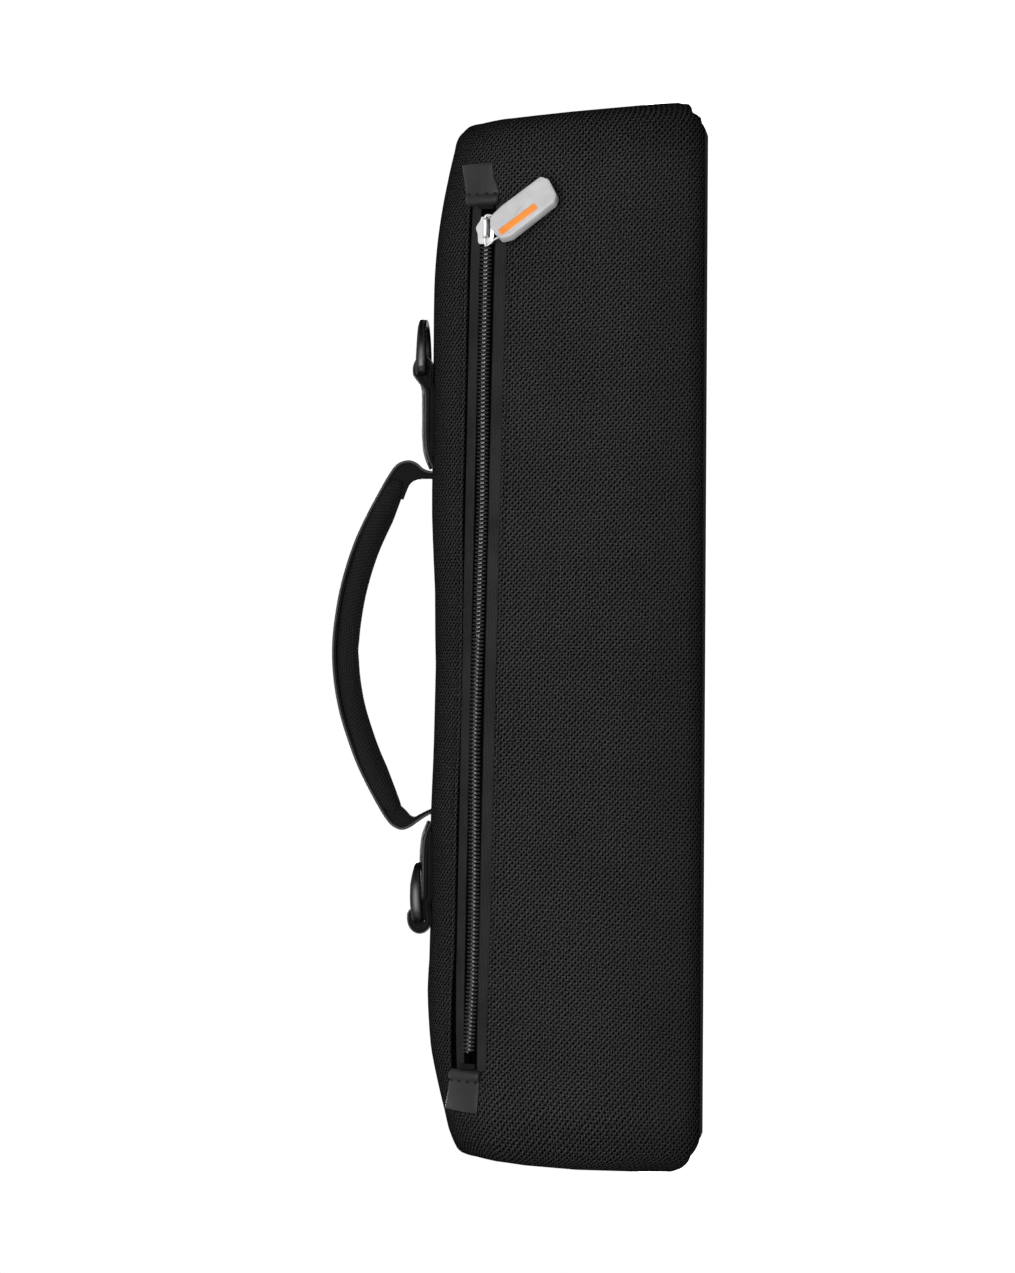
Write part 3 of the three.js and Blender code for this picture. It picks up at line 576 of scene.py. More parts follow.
def soften(points, draws):
    """The padded walls are full and a little uneven, and the ends and the crown aren't quite straight."""
    x, y, z = points[..., 0], points[..., 1], points[..., 2]
    moved = points.copy()
    high = ramp(z, SPRING, CROWN)
    moved[..., 2] += np.interp(x, *CROWN_LIFTS.T) * high ** 1.3 + 0.5 * draws * np.minimum(high * 2.2, 1)
    past = ramp(np.abs(x), 185.0, 212.0)
    right = np.interp(moved[..., 2], *RIGHT_END.T)
    left = np.interp(moved[..., 2], *LEFT_END.T)
    moved[..., 0] += past ** 2 * (3 - 2 * past) * np.where(x > 0, right, -left)
    wave = 0.28 * np.sin(x / 31.0 + 0.7) * np.sin(z / 17.0 + 1.1) + 0.16 * np.sin(x / 13.0 + z / 9.0)
    wall = ramp(z, SPRING, SPRING - 20.0) * ramp(z, 8.0, 28.0)
    calm = ramp(np.abs(x), 212.0, 200.0)
    belly = 0.9 * np.cos(np.clip(x / 214.0, -1, 1) * QUARTER)
    moved[..., 1] += np.sign(y) * (wave * calm + belly) * wall
    return moved


def raise_hem(points, cloth):
    """The cloth is folded double beside the zip, and sinks in at the seam with the base."""
    moved = points.copy()
    u, v = cloth[..., 0], cloth[..., 1]
    hem_share = (ramp(np.abs(v), 11.6, 10.7) * ramp(np.abs(u), SLOT_EDGE + 6.0, SLOT_EDGE))[..., None]
    moved[:, :FIRST_SLOT] += 0.45 * hem_share[:, :FIRST_SLOT] * ZIP_OUT
    moved[:, FIRST_TOP:FIRST_BACK] += 0.35 * hem_share[:, FIRST_TOP:FIRST_BACK] * ZIP_OUT
    seam = ramp(np.abs(u), SEAM_END + 1.0, SEAM_END)
    for row, turn in ((0, -1), (FIRST_UNDER - 1, 1)):
        moved[:, row] += seam[:, row, None] * np.array([0.0, -turn * 0.35, 0.35])
    return moved


def quads(columns, rows, row_count, column_count=0):
    """Faces of a grid. Its last row joins the first, and so does its last column if their count is given."""
    faces = []
    for i in columns:
        here, there = i * row_count, ((i + 1) % column_count if column_count else i + 1) * row_count
        for j in rows:
            k = (j + 1) % row_count
            faces.append((here + j, there + j, there + k, here + k))
    return faces


# A point of the front is taken from sections within reach that are tall enough to have a front
SECTION_REACH, SECTION_TALL = 6.0, 50.0


class Shell:
    """One closed skin, from which pieces are cut that keep its normals."""

    def __init__(self, points, cloth, middle):
        self.points, self.cloth = points, cloth
        self.count, self.rows = points.shape[:2]
        self.centre = (self.count - 1) // 2
        self.low, self.high = self.centre - middle, self.centre + middle
        mesh = bpy.data.meshes.new("shell")
        faces = quads(range(self.count - 1), range(self.rows), self.rows)
        mesh.from_pydata(points.reshape(-1, 3).tolist(), [], faces)
        mesh.update()
        normals = np.empty(points.size)
        mesh.vertices.foreach_get("normal", normals)
        self.normals = normals.reshape(points.shape)
        bpy.data.meshes.remove(mesh)

    def part(self, spans, caps=False, cloth=None):
        """Points, faces, cloth places and normals of the quads in spans of columns and rows."""
        faces = [face for columns, rows in spans for face in quads(columns, rows, self.rows)]
        if caps:
            last = (self.count - 1) * self.rows
            faces.append(tuple(range(self.rows)))
            faces.append(tuple(range(last, last + self.rows))[::-1])
        used = sorted({index for face in faces for index in face})
        number = {index: k for k, index in enumerate(used)}
        return (
            self.points.reshape(-1, 3)[used],
            [tuple(number[index] for index in face) for face in faces],
            (self.cloth if cloth is None else cloth).reshape(-1, 2)[used],
            self.normals.reshape(-1, 3)[used],
        )

    def front_at(self, x, z):
        """The point and normal of the front at x and z."""
        spots = []
        for i in range(self.count):
            rows = slice(0, int(np.argmax(self.points[i, :FIRST_BACK, 2])) + 1)
            beside = abs(self.points[i, FIRST_SLOT, 0] - x) < SECTION_REACH
            if beside and np.ptp(self.points[i, rows, 2]) > SECTION_TALL:
                both = np.concatenate([self.points[i, rows], self.normals[i, rows]], 1)
                spots.append([np.interp(z, both[:, 2], both[:, k]) for k in range(6)])
        spots = np.array(spots)
        spots = spots[np.argsort(spots[:, 0])]
        spot = np.array([np.interp(x, spots[:, 0], spots[:, k]) for k in range(6)])
        return spot[:3], unit(spot[3:])

    def line(self, v):
        """Points and normals along a line of the cloth at v from the zip, between the slot's ends."""
        rows = slice(0, FIRST_SLOT) if v < 0 else slice(FIRST_TOP, FIRST_BACK)
        lines = [
            [[np.interp(v, self.cloth[i, rows, 1], held[i, rows, k]) for k in range(3)]
             for i in range(self.low, self.high + 1)]
            for held in (self.points, self.normals)
        ]
        return np.array(lines)

    def flap_halves(self, last_row, profile):
        """Side, name and part of the flap's right and left half, each with its edge turned in."""
        for side, name in SIDES:
            columns = range(self.centre, self.high) if side > 0 else range(self.low, self.centre)
            across = slice(columns[0], columns[-1] + 2)
            flat = self.part(((columns, range(FIRST_TOP, last_row)),))
            yield side, name, join_parts(flat, hem(self, FIRST_TOP, -1, profile, across))


def join_parts(*parts):
    starts = np.cumsum([0] + [len(part[0]) for part in parts]).tolist()
    faces = [tuple(k + start for k in face) for start, part in zip(starts, parts) for face in part[1]]
    normals = None
    if all(part[3] is not None for part in parts):
        normals = np.concatenate([part[3] for part in parts])
    points, cloth = (np.concatenate([part[k] for part in parts]) for k in (0, 2))
    return points, faces, cloth, normals


def grid_part(points, cloth=None, normals=None, tube=False, ring=False):
    """A part from a grid of points: tube joins its last row to the first, ring its last column."""
    count, rows = points.shape[:2]
    faces = quads(range(count - (not ring)), range(rows - (not tube)), rows, count)
    if tube and not ring:
        faces.append(tuple(range(rows))[::-1])
        faces.append(tuple(range((count - 1) * rows, count * rows)))
    if cloth is None:
        along, across = run_of(points[:, 0]), run_of(points[count // 2])
        cloth = np.stack(np.meshgrid(along, across, indexing="ij"), -1)
    flat_normals = None if normals is None else normals.reshape(-1, 3)
    return points.reshape(-1, 3), faces, cloth.reshape(-1, 2), flat_normals


def set_cloth(mesh, cloth):
    layer = mesh.uv_layers.get("cloth") or mesh.uv_layers.new(name="cloth")
    corners = np.empty(len(mesh.loops), dtype=np.int32)
    mesh.loops.foreach_get("vertex_index", corners)
    layer.data.foreach_set("uv", cloth[corners].astype(np.float32).ravel())
    mesh.polygons.foreach_set("use_smooth", [True] * len(mesh.polygons))


def make_piece(name, part, *looks, face_look=None, painted_light=None, sharp=None):
    points, faces, cloth, normals = part
    mesh = bpy.data.meshes.new(name)
    mesh.from_pydata((points * MM).tolist(), [], faces)
    set_cloth(mesh, cloth)
    for look in looks:
        mesh.materials.append(LOOKS[look])
    if face_look is not None:
        mesh.polygons.foreach_set("material_index", face_look)
    # The painted light, as painted shade or painted highlight, is stored on the points for the looks
    if painted_light is not None:
        attribute = mesh.attributes.new("painted_light", "FLOAT", "POINT")
        attribute.data.foreach_set("value", painted_light.astype(np.float32))
    mesh.update()
    if normals is None:
        form = bmesh.new()
        form.from_mesh(mesh)
        bmesh.ops.recalc_face_normals(form, faces=form.faces)
        form.to_mesh(mesh)
        form.free()
        if sharp is not None:
            mesh.set_sharp_from_angle(angle=math.radians(sharp))
    else:
        mesh.normals_split_custom_set_from_vertices(normals.tolist())
    piece = bpy.data.objects.new(name, mesh)
    scene.collection.objects.link(piece)
    return piece


def stand_for(nodes):
    if nodes:
        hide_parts(*nodes)


def settle(piece, body, slot, *nodes):
    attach(piece, body)
    stand_for(nodes)


def settle_bent(piece, side, slot, *nodes):
    """Cloth of the flap, which on the real case stays with the case past the ends of the zip and bends up
    between: its place is baked into its mesh and the solids it stands for are hidden, while the ends of the
    bend are worked out but not used.
    """
    start, end = ((side * x * MM, 0, 0) for x in (BEND_START, BEND_END))
    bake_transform(piece)
    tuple(start)
    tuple(end)
    stand_for(nodes)


DARK_FROM, DARK_FULL, DARK_BELOW = 196.0, 210.0, 8.0


def painted_edge_shade(points):
    """How much painted shade darkens the cloth round the ends and along the lower edges, where the case
    turns away from the light.
    """
    ends = ramp(np.abs(points[:, 0]), DARK_FROM, DARK_FULL)
    low = ramp(points[:, 2], DARK_BELOW, 0.0)
    return np.clip(ends * 0.6 + low * 0.5, 0, 1)


def hem(shell, row, towards, profile, columns):
    """Turns the cloth's edge in at the zip: profile gives steps across the zip and outwards."""
    side = ZIP_ACROSS * towards
    steps = ((0.0, 0.0),) + profile
    edge, base, first = (held[columns, row] for held in (shell.points, shell.cloth, shell.normals))
    points = np.stack([edge + side * across + ZIP_OUT * out for across, out in steps], 1)
    cloth = np.stack([base + np.array([0.0, 0.6 * towards * k]) for k in range(len(steps))], 1)
    turned = np.minimum(np.arange(len(steps)) / 2, 1)
    normals = unit(np.stack([first * (1 - k) + side * k for k in turned], 1))
    if towards < 0:
        points, cloth, normals = points[:, ::-1], cloth[:, ::-1], normals[:, ::-1]
    return grid_part(points, cloth, normals)


# Covers
HEM = ((0.35, -0.12), (0.6, -0.5), (0.6, -1.35))
END_CLOTH_U, END_CLOTH_V = 230.0, -112.0
outer_points, outer_cloth, outer_draws, outer_middle = skin_grid(0.0, SLOT_HALF, 2.6, 14)
outer_points = raise_hem(end_corners(soften(outer_points, outer_draws)), outer_cloth)
outer = Shell(outer_points, outer_cloth, outer_middle)
every = range(CAPS, outer.count - 1 - CAPS)
end_columns = [i for i in range(outer.count - 1) if i not in every]
end_cloth = outer_points[..., 1:] + (END_CLOTH_U, END_CLOTH_V)
past_zip = [i for i in every if not outer.low <= i < outer.high]
base_columns = [i for i in every if np.abs(outer_cloth[i:i + 2, 0, 0]).max() < SEAM_END]
past_base = [i for i in every if i not in base_columns]
case_part = join_parts(
    outer.part((
        (every, range(FIRST_SLOT - 1)),
        (past_zip, range(FIRST_SLOT - 1, FIRST_BACK - 1)),
        (every, range(FIRST_BACK - 1, FIRST_UNDER - 1)),
        (past_base, range(FIRST_UNDER - 1, outer.rows)),
    )),
    hem(outer, FIRST_SLOT - 1, 1, HEM, slice(outer.low, outer.high + 1)),
    outer.part(((end_columns, range(outer.rows)),), caps=True, cloth=end_cloth),
)
settle(
    make_piece("case_cover", case_part, "cover", painted_light=painted_edge_shade(case_part[0])), "case_body", "cordura",
    "front_panel", "back_panel", "right_end_panel", "left_end_panel", "right_top_panel", "left_top_panel",
    "front_padding", "back_padding", "right_end_padding", "left_end_padding",
    "right_top_padding", "left_top_padding",
)
base_part = outer.part(((base_columns, range(FIRST_UNDER - 1, outer.rows)),))
base_cover = make_piece("base_cover", base_part, "base")
settle(base_cover, "case_body", "base_cloth", "bottom_panel", "bottom_padding")
for side, name, part in outer.flap_halves(FIRST_BACK - 1, HEM):
    piece = make_piece(f"flap_cover_{name}", part, "cover", painted_light=painted_edge_shade(part[0]))
    settle_bent(piece, side, "cordura", "top_flap_panel", "top_flap_padding")

# Lining
HINGE_ROWS = 3
RIM = ((0.0, 2.4), (0.0, 4.8), (0.0, 7.2))
inner_points, inner_cloth, _, inner_middle = skin_grid(LINING_INSET, LINING_SLOT, 5.0, 4)
inner = Shell(inner_points, inner_cloth, inner_middle)
past_slot = [*range(inner.low), *range(inner.high, inner.count - 1)]
bag_part = join_parts(
    inner.part(
        (
            (range(inner.count - 1), range(FIRST_SLOT - 1)),
            (past_slot, range(FIRST_SLOT - 1, FIRST_BACK - 1)),
            (range(inner.count - 1), range(FIRST_BACK + HINGE_ROWS, inner.rows)),
        ),
        caps=True,
    ),
    hem(inner, FIRST_SLOT - 1, 1, RIM, slice(inner.low, inner.high + 1)),
)
settle(make_piece("bag_lining_cloth", bag_part, "lining"), "case_body", "lining", "bag_lining")
for side, name, part in inner.flap_halves(FIRST_BACK - HINGE_ROWS, RIM):
    settle_bent(make_piece(f"flap_lining_{name}", part, "lining"), side, "lining", "top_flap_lining")
hinge_rows = range(FIRST_BACK - HINGE_ROWS, FIRST_BACK + HINGE_ROWS)
hinge_part = inner.part(((range(inner.low, inner.high), hinge_rows),))
hinge_lining = make_piece("hinge_lining", hinge_part, "lining")
low, high = ((0, 0, z * MM) for z in (hinge_part[0][:, 2].min(), hinge_part[0][:, 2].max()))
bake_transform(hinge_lining)
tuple(low)
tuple(high)

# How far across the sewn zip wanders along it
DRIFT = np.array([
    (-171, 0.0), (-160, -0.5), (-142, -1.1), (-117, -1.0), (-92, -0.7), (-67, -0.2), (-43, 0.3), (-18, 0.1),
    (7, -0.3), (32, -0.5), (56, -0.8), (81, -0.4), (106, 0.0),
])
TAPE_ROWS = np.array([12.6, 10.5, 8.4, 7.4, 6.4, 5.4, 4.4, 3.5, 2.8, 2.2, 1.4, 0.75, 0.7])
TAPE_DEPTHS = np.array([1.7, 1.7, 1.6, 1.55, 1.5, 1.45, 1.4, 1.35, 1.35, 1.35, 1.4, 1.5, 2.1])
LEAN_AT_ZIP = 0.9689
for side, first, last, name in ((-1, -1, 1, "front"), (1, 0, 1, "rear_right"), (1, -1, 0, "rear_left")):
    ends = TAPE_END / LEAN_AT_ZIP
    x = np.linspace(first * ends, last * ends, 75 * (last - first) + 1)
    points = zip_surface(x[:, None], TAPE_DEPTHS[None], side * TAPE_ROWS[None])
    cloth = np.stack(np.broadcast_arrays(x[:, None], side * TAPE_ROWS[None]), -1)
    if side > 0:
        points, cloth = points[:, ::-1], cloth[:, ::-1]
    piece = make_piece(f"{name}_tape", grid_part(points, cloth), "tape")
    if name == "front":
        settle(piece, "case_body", "tape", "front_zip_tape")
    else:
        settle_bent(piece, last or first, "tape", "rear_zip_tape", f"{name[5:]}_rear_tape_end")


def tube_part(path, radius, sides, up, closed=False):
    """A round tube of changing thickness along a path."""
    ahead = np.roll(path, -1, 0) - np.roll(path, 1, 0) if closed else np.gradient(path, axis=0)
    ahead = unit(ahead)
    first = unit(np.cross(ahead, up))
    second = np.cross(ahead, first)
    turn = (np.arange(sides) / sides * 2 * math.pi)[None, :, None]
    ring = first[:, None] * np.cos(turn) + second[:, None] * np.sin(turn)
    points = path[:, None] + np.broadcast_to(radius, len(path))[:, None, None] * ring
    return grid_part(points, tube=True, ring=closed)


# Coil teeth: one strand wound flat, with a turn and a thick head for each tooth
COIL_STEPS, COIL_SIDES, COIL_WIRE, COIL_HEAD = 16, 6, 0.32, 0.2
COIL_ROOT, COIL_REACH, COIL_RISE, COIL_SWAY = 2.5, 2.85, 0.62, 0.12


def coil_piece(name, side, first, last):
    count = int(round((last - first) / COIL_PITCH * COIL_STEPS))
    angle = np.arange(count + 1) / COIL_STEPS * 2 * math.pi + (0 if side < 0 else math.pi)
    u = np.linspace(first, last, count + 1) + COIL_SWAY * np.sin(angle)
    reach = 0.5 * (1 + np.cos(angle))
    v = side * (COIL_ROOT - COIL_REACH * reach)
    w = (COIL_BASE + COIL_TOP) / 2 + COIL_RISE * np.sin(angle)
    if side > 0:
        w -= 0.25 * np.clip(v - 0.4, 0, 2)
    head = ramp(reach, 0.88, 1.0)
    path = zip_point(u, v + np.interp(u, *DRIFT.T), w)
    part = tube_part(path, COIL_WIRE + COIL_HEAD * head, COIL_SIDES, ZIP_ALONG)
    return make_piece(name, part, "coil", painted_light=np.repeat(head, COIL_SIDES))


settle(coil_piece("front_coil", -1, -COIL_END, COIL_END), "case_body", "coil", "front_zip_chain")
for side, name in SIDES:
    first, last = sorted((0.0, side * COIL_END))
    rear_coil = coil_piece(f"rear_coil_{name}", 1, first, last)
    settle_bent(rear_coil, side, "coil", "rear_zip_chain", f"{name}_rear_chain_end")


# Stitches
def stitch_part(line, normals, pitch=3.0, length=2.3, radius=0.25, start=1.0):
    steps = np.array([0.0, 0.18, 0.5, 0.82, 1.0])
    rises = np.array([-0.16, 0.05, 0.12, 0.05, -0.16])
    thick = np.array([0.12, 0.95, 1.0, 0.95, 0.12]) * radius
    parts = []
    for place in np.arange(start, run_of(line)[-1] - length - start, pitch):
        spots = place + steps * length
        out = unit(along_line(line, spots, normals))
        parts.append(tube_part(along_line(line, spots) + out * rises[:, None], thick, 6, out[2]))
    return join_parts(*parts)


front_stitches = stitch_part(*outer.line(-STITCH_ROW))
settle(make_piece("front_zip_stitches", front_stitches, "thread"), "case_body", "cordura")
flap_line, flap_normals = outer.line(STITCH_ROW)
for side, name in SIDES:
    keep = flap_line[:, 0] * side > -1.5
    part = stitch_part(flap_line[keep], flap_normals[keep])
    settle_bent(make_piece(f"flap_zip_stitches_{name}", part, "thread"), side, "cordura")

# Leather straps: a flat strip along a path, whose outer corners are worn lighter
STRAP_FLAT = np.array([-1.0, -0.965, -0.8, -0.4, 0.0, 0.4, 0.8, 0.965, 1.0])
STRAP_RISE = np.array([0.30, 0.47, 0.5, 0.5, 0.5, 0.5, 0.5, 0.47, 0.30])
STRAP_CROWN, INNER_NARROWER, PALE_ROWS = 0.12, 0.7, (0, 7, 8, 9, 16, 17)


def strap_part(path, widths, thick, aside=(0.0, 1.0, 0.0), sag=0.0):
    half, thick, sag = (np.broadcast_to(value, len(path))[:, None] for value in (widths, thick, sag))
    flat = np.concatenate([STRAP_FLAT, STRAP_FLAT[::-1]])
    a = flat * half / 2
    rise = np.concatenate([STRAP_RISE, -STRAP_RISE[::-1]]) * thick
    b = rise + STRAP_CROWN * (1 - flat ** 2) - sag * flat ** 2
    out, aside = out_of(path, aside), np.asarray(aside, float)
    points = path[:, None] + aside * a[..., None] + out[:, None] * b[..., None]
    looks = [int(j in PALE_ROWS) for j in range(len(flat))] * (len(path) - 1) + [0, 0]
    return grid_part(points, tube=True), looks


def all_dark(part):
    return part, [0] * len(part[1])


def layered(path, widths, thick, aside=(0.0, 1.0, 0.0), sag=0.0, skin=0.7, pale_from=0.0):
    """A strap with a thin pale cut layer outside and a dark one inside."""
    out = out_of(path, aside)
    thick = np.broadcast_to(thick, len(path))[:, None]
    outside, looks = strap_part(path + out * (thick - skin) / 2, widths, skin, aside, sag)
    dark = int(pale_from * len(looks))
    narrow = np.asarray(widths) - INNER_NARROWER
    inside, _ = strap_part(path - out * skin / 2, narrow, thick[:, 0] - skin, aside, sag)
    return [(outside, [0] * dark + looks[dark:]), all_dark(inside)]


def band_part(outer_side, inner_side, widths, count=34):
    """A solid band of leather between two lines in the handle's plane."""
    first, last = path_in_plane(outer_side, count), path_in_plane(inner_side, count)
    widths = np.interp(np.linspace(0, 1, count), np.linspace(0, 1, len(widths)), widths)
    flat = np.array([-1.0, -0.96, -0.8, 0.0, 0.8, 0.96, 1.0])
    share = np.array([0.10, 0.03, 0.0, 0.0, 0.0, 0.03, 0.10])
    across = np.concatenate([flat, flat[::-1]])
    share = np.concatenate([share, 1 - share])[None, :, None]
    points = first[:, None] * (1 - share) + last[:, None] * share
    points[..., 1] += across * widths[:, None] / 2
    return all_dark(grid_part(points[:, ::-1], tube=True))


def straps_piece(name, straps):
    looks = [index for _, face_look in straps for index in face_look]
    part = join_parts(*(part for part, _ in straps))
    return make_piece(name, part, "leather", "leather_edge", face_look=looks, sharp=50)


# Handle, from the outer line of its leather strip, left foot to right foot
STRIP_THICK, PAD_THICK, PAD_FROM_FEET = 1.8, 8.6, 14.0
OUTER_LINE = (
    (-73.6, 112.8), (-74.6, 114.9), (-77.0, 118.4), (-79.2, 121.6), (-80.2, 125.2), (-78.3, 129.2),
    (-73.7, 132.8), (-63.4, 138.6), (-53.1, 143.6), (-42.7, 147.5), (-32.4, 150.7), (-22.1, 152.8),
    (-11.8, 153.9), (-1.4, 153.9), (8.9, 152.8), (19.2, 151.0), (29.5, 148.3), (39.9, 144.7), (50.2, 140.0),
    (60.5, 134.6), (66.8, 131.0), (71.2, 127.6), (72.8, 123.2), (71.8, 119.6), (69.8, 117.3), (68.7, 115.2),
    (68.3, 112.8),
)
# Outer and inner line of the leather that closes each foot
NECKS = (
    (
        ((67.6, 112.6), (67.9, 115.2), (69.0, 117.6), (70.9, 119.9), (71.8, 123.2), (70.4, 126.8),
         (66.3, 130.2), (60.0, 133.9)),
        ((65.2, 112.6), (65.2, 115.2), (65.1, 117.4), (64.9, 119.2), (64.0, 121.2), (62.5, 122.6),
         (60.0, 123.7), (56.5, 125.0)),
    ),
    (
        ((-73.0, 112.6), (-73.9, 114.9), (-76.2, 118.4), (-78.2, 121.6), (-79.2, 125.2), (-77.4, 128.8),
         (-73.0, 131.6)),
        ((-71.3, 112.4), (-72.6, 115.3), (-73.9, 117.8), (-74.8, 119.4), (-74.3, 121.2), (-72.6, 122.8),
         (-69.6, 126.0)),
    ),
)
HANDLE_X, HANDLE_Z, HANDLE_R = -3.9, 36.8, 112.0
outer_line = path_in_plane(OUTER_LINE, 181)
outer_out = out_of(outer_line)
strip_line = outer_line - outer_out * (STRIP_THICK / 2)
strip_run = run_of(strip_line)
from_end = np.minimum(strip_run, strip_run[-1] - strip_run)
strip_widths = np.interp(from_end, (0, 18, 30, 52, 70), (10.4, 10.6, 14.0, 20.5, 22.0))
necks = [band_part(outer_side, inner_side, (9.0, 9.4, 9.8, 10.0)) for outer_side, inner_side in NECKS]
settle(
    straps_piece("handle_leather", layered(strip_line, strip_widths, STRIP_THICK, skin=1.0) + necks),
    "handle", "black_leather", "handle_strap", "right_handle_neck", "left_handle_neck",
)


def handle_pad_part():
    keep = from_end > PAD_FROM_FEET
    middle = (outer_line - outer_out * (STRIP_THICK - 0.3 + PAD_THICK / 2))[keep][::2]
    run = run_of(middle)
    away = np.minimum(run, run[-1] - run)
    close = np.sqrt(np.clip(1 - ramp(away, 9.0, 0.0) ** 2, 0.03, 1))[:, None]
    half_wide = np.interp(away, (0, 28), (7.0, 12.6))[:, None] * (0.35 + 0.65 * close)
    across, rise = boxy(np.arange(36) / 36 * 2 * math.pi, 0.7)
    points = middle[:, None] + out_of(middle)[:, None] * (PAD_THICK / 2 * close * rise)[..., None]
    points[..., 1] += half_wide * across
    return grid_part(points, tube=True)


def spots_of(mesh):
    spots = np.empty(len(mesh.vertices) * 3)
    mesh.vertices.foreach_get("co", spots)
    return spots.reshape(-1, 3)


CLOTH_STEPS = 20


def bake(piece):
    """Makes the piece's modifiers part of its mesh."""
    graph = bpy.context.evaluated_depsgraph_get()
    mesh = bpy.data.meshes.new_from_object(piece.evaluated_get(graph))
    piece.modifiers.clear()
    piece.data = mesh


def plump(piece, voxel, pressure, cap):
    """Blows the closed form up as cloth, and keeps each point within cap of where it was."""
    remesh = piece.modifiers.new("even", "REMESH")
    remesh.mode = "VOXEL"
    remesh.voxel_size = voxel * MM
    bake(piece)
    before = spots_of(piece.data)
    cloth = piece.modifiers.new("cloth", "CLOTH")
    cloth.settings.use_pressure = True
    cloth.settings.uniform_pressure_force = pressure
    cloth.settings.effector_weights.gravity = 0.0
    cloth.settings.quality = 6
    cloth.point_cache.frame_start, cloth.point_cache.frame_end = 1, CLOTH_STEPS
    for step in range(1, CLOTH_STEPS + 1):
        scene.frame_set(step)
    bake(piece)
    scene.frame_set(1)
    moved = spots_of(piece.data) - before
    size = np.linalg.norm(moved, axis=1, keepdims=True)
    moved *= np.minimum(1, cap * MM / np.maximum(size, 1e-9))
    piece.data.vertices.foreach_set("co", (before + moved).ravel())
    piece.modifiers.new("smooth", "SUBSURF").levels = 1
    bake(piece)


def wrap_handle_cloth(mesh):
    """Millimetres along the handle's arc and round its section, for the knit."""
    x, y, z = (spots_of(mesh) / MM).T
    reach = np.hypot(x - HANDLE_X, z - HANDLE_Z)
    around = np.where(np.abs(y) > 6.0, reach, y + reach * 0.3)
    set_cloth(mesh, np.stack([np.arctan2(x - HANDLE_X, z - HANDLE_Z) * HANDLE_R, around], -1))


handle_pad = make_piece("handle_pad", handle_pad_part(), "knit")
plump(handle_pad, voxel=2.2, pressure=4.0, cap=0.9)
wrap_handle_cloth(handle_pad.data)
settle(handle_pad, "handle", "grip_mesh", "handle_grip")


# Rings and their straps
RING_HALF, RING_ROLL = 11.7, math.radians(-5.0)


def ring_part(eye_x, eye_z, lift, length, deep, bow):
    """A D of flattened wire: its legs are deep beside the bar and thinner round the bow."""
    round_bow = boxy(np.linspace(-QUARTER, QUARTER, 48), 0.66).T * (length, RING_HALF)
    bar = np.linspace((0.0, RING_HALF), (0.0, -RING_HALF), 18)[1:-1]
    path = np.pad(np.concatenate([round_bow, bar]), ((0, 0), (0, 1)))
    path = path * 0.5 + (np.roll(path, 1, 0) + np.roll(path, -1, 0)) * 0.25
    path[:, 2] += bow * np.sin(ramp(path[:, 0], 0, length) * math.pi)
    side = np.cross(unit(np.roll(path, -1, 0) - np.roll(path, 1, 0)), (0.0, 0.0, 1.0))
    deep = np.interp(path[:, 0], (0, 6, 14, 22), deep)[:, None]
    wide = np.interp(path[:, 0], (0, 14, 22), (1.7, 1.6, 1.5))[:, None]
    a, b = boxy(np.arange(16) / 16 * 2 * math.pi, 0.5)
    points = path[:, None] + side[:, None] * (wide * a)[..., None]
    points[..., 2] += deep * b
    turned = Matrix.Rotation(math.radians(-lift), 3, "Y") @ Matrix.Rotation(RING_ROLL, 3, "X")
    points = points @ np.array(turned).T + (eye_x, 0.0, eye_z)
    return grid_part(points, tube=True, ring=True)


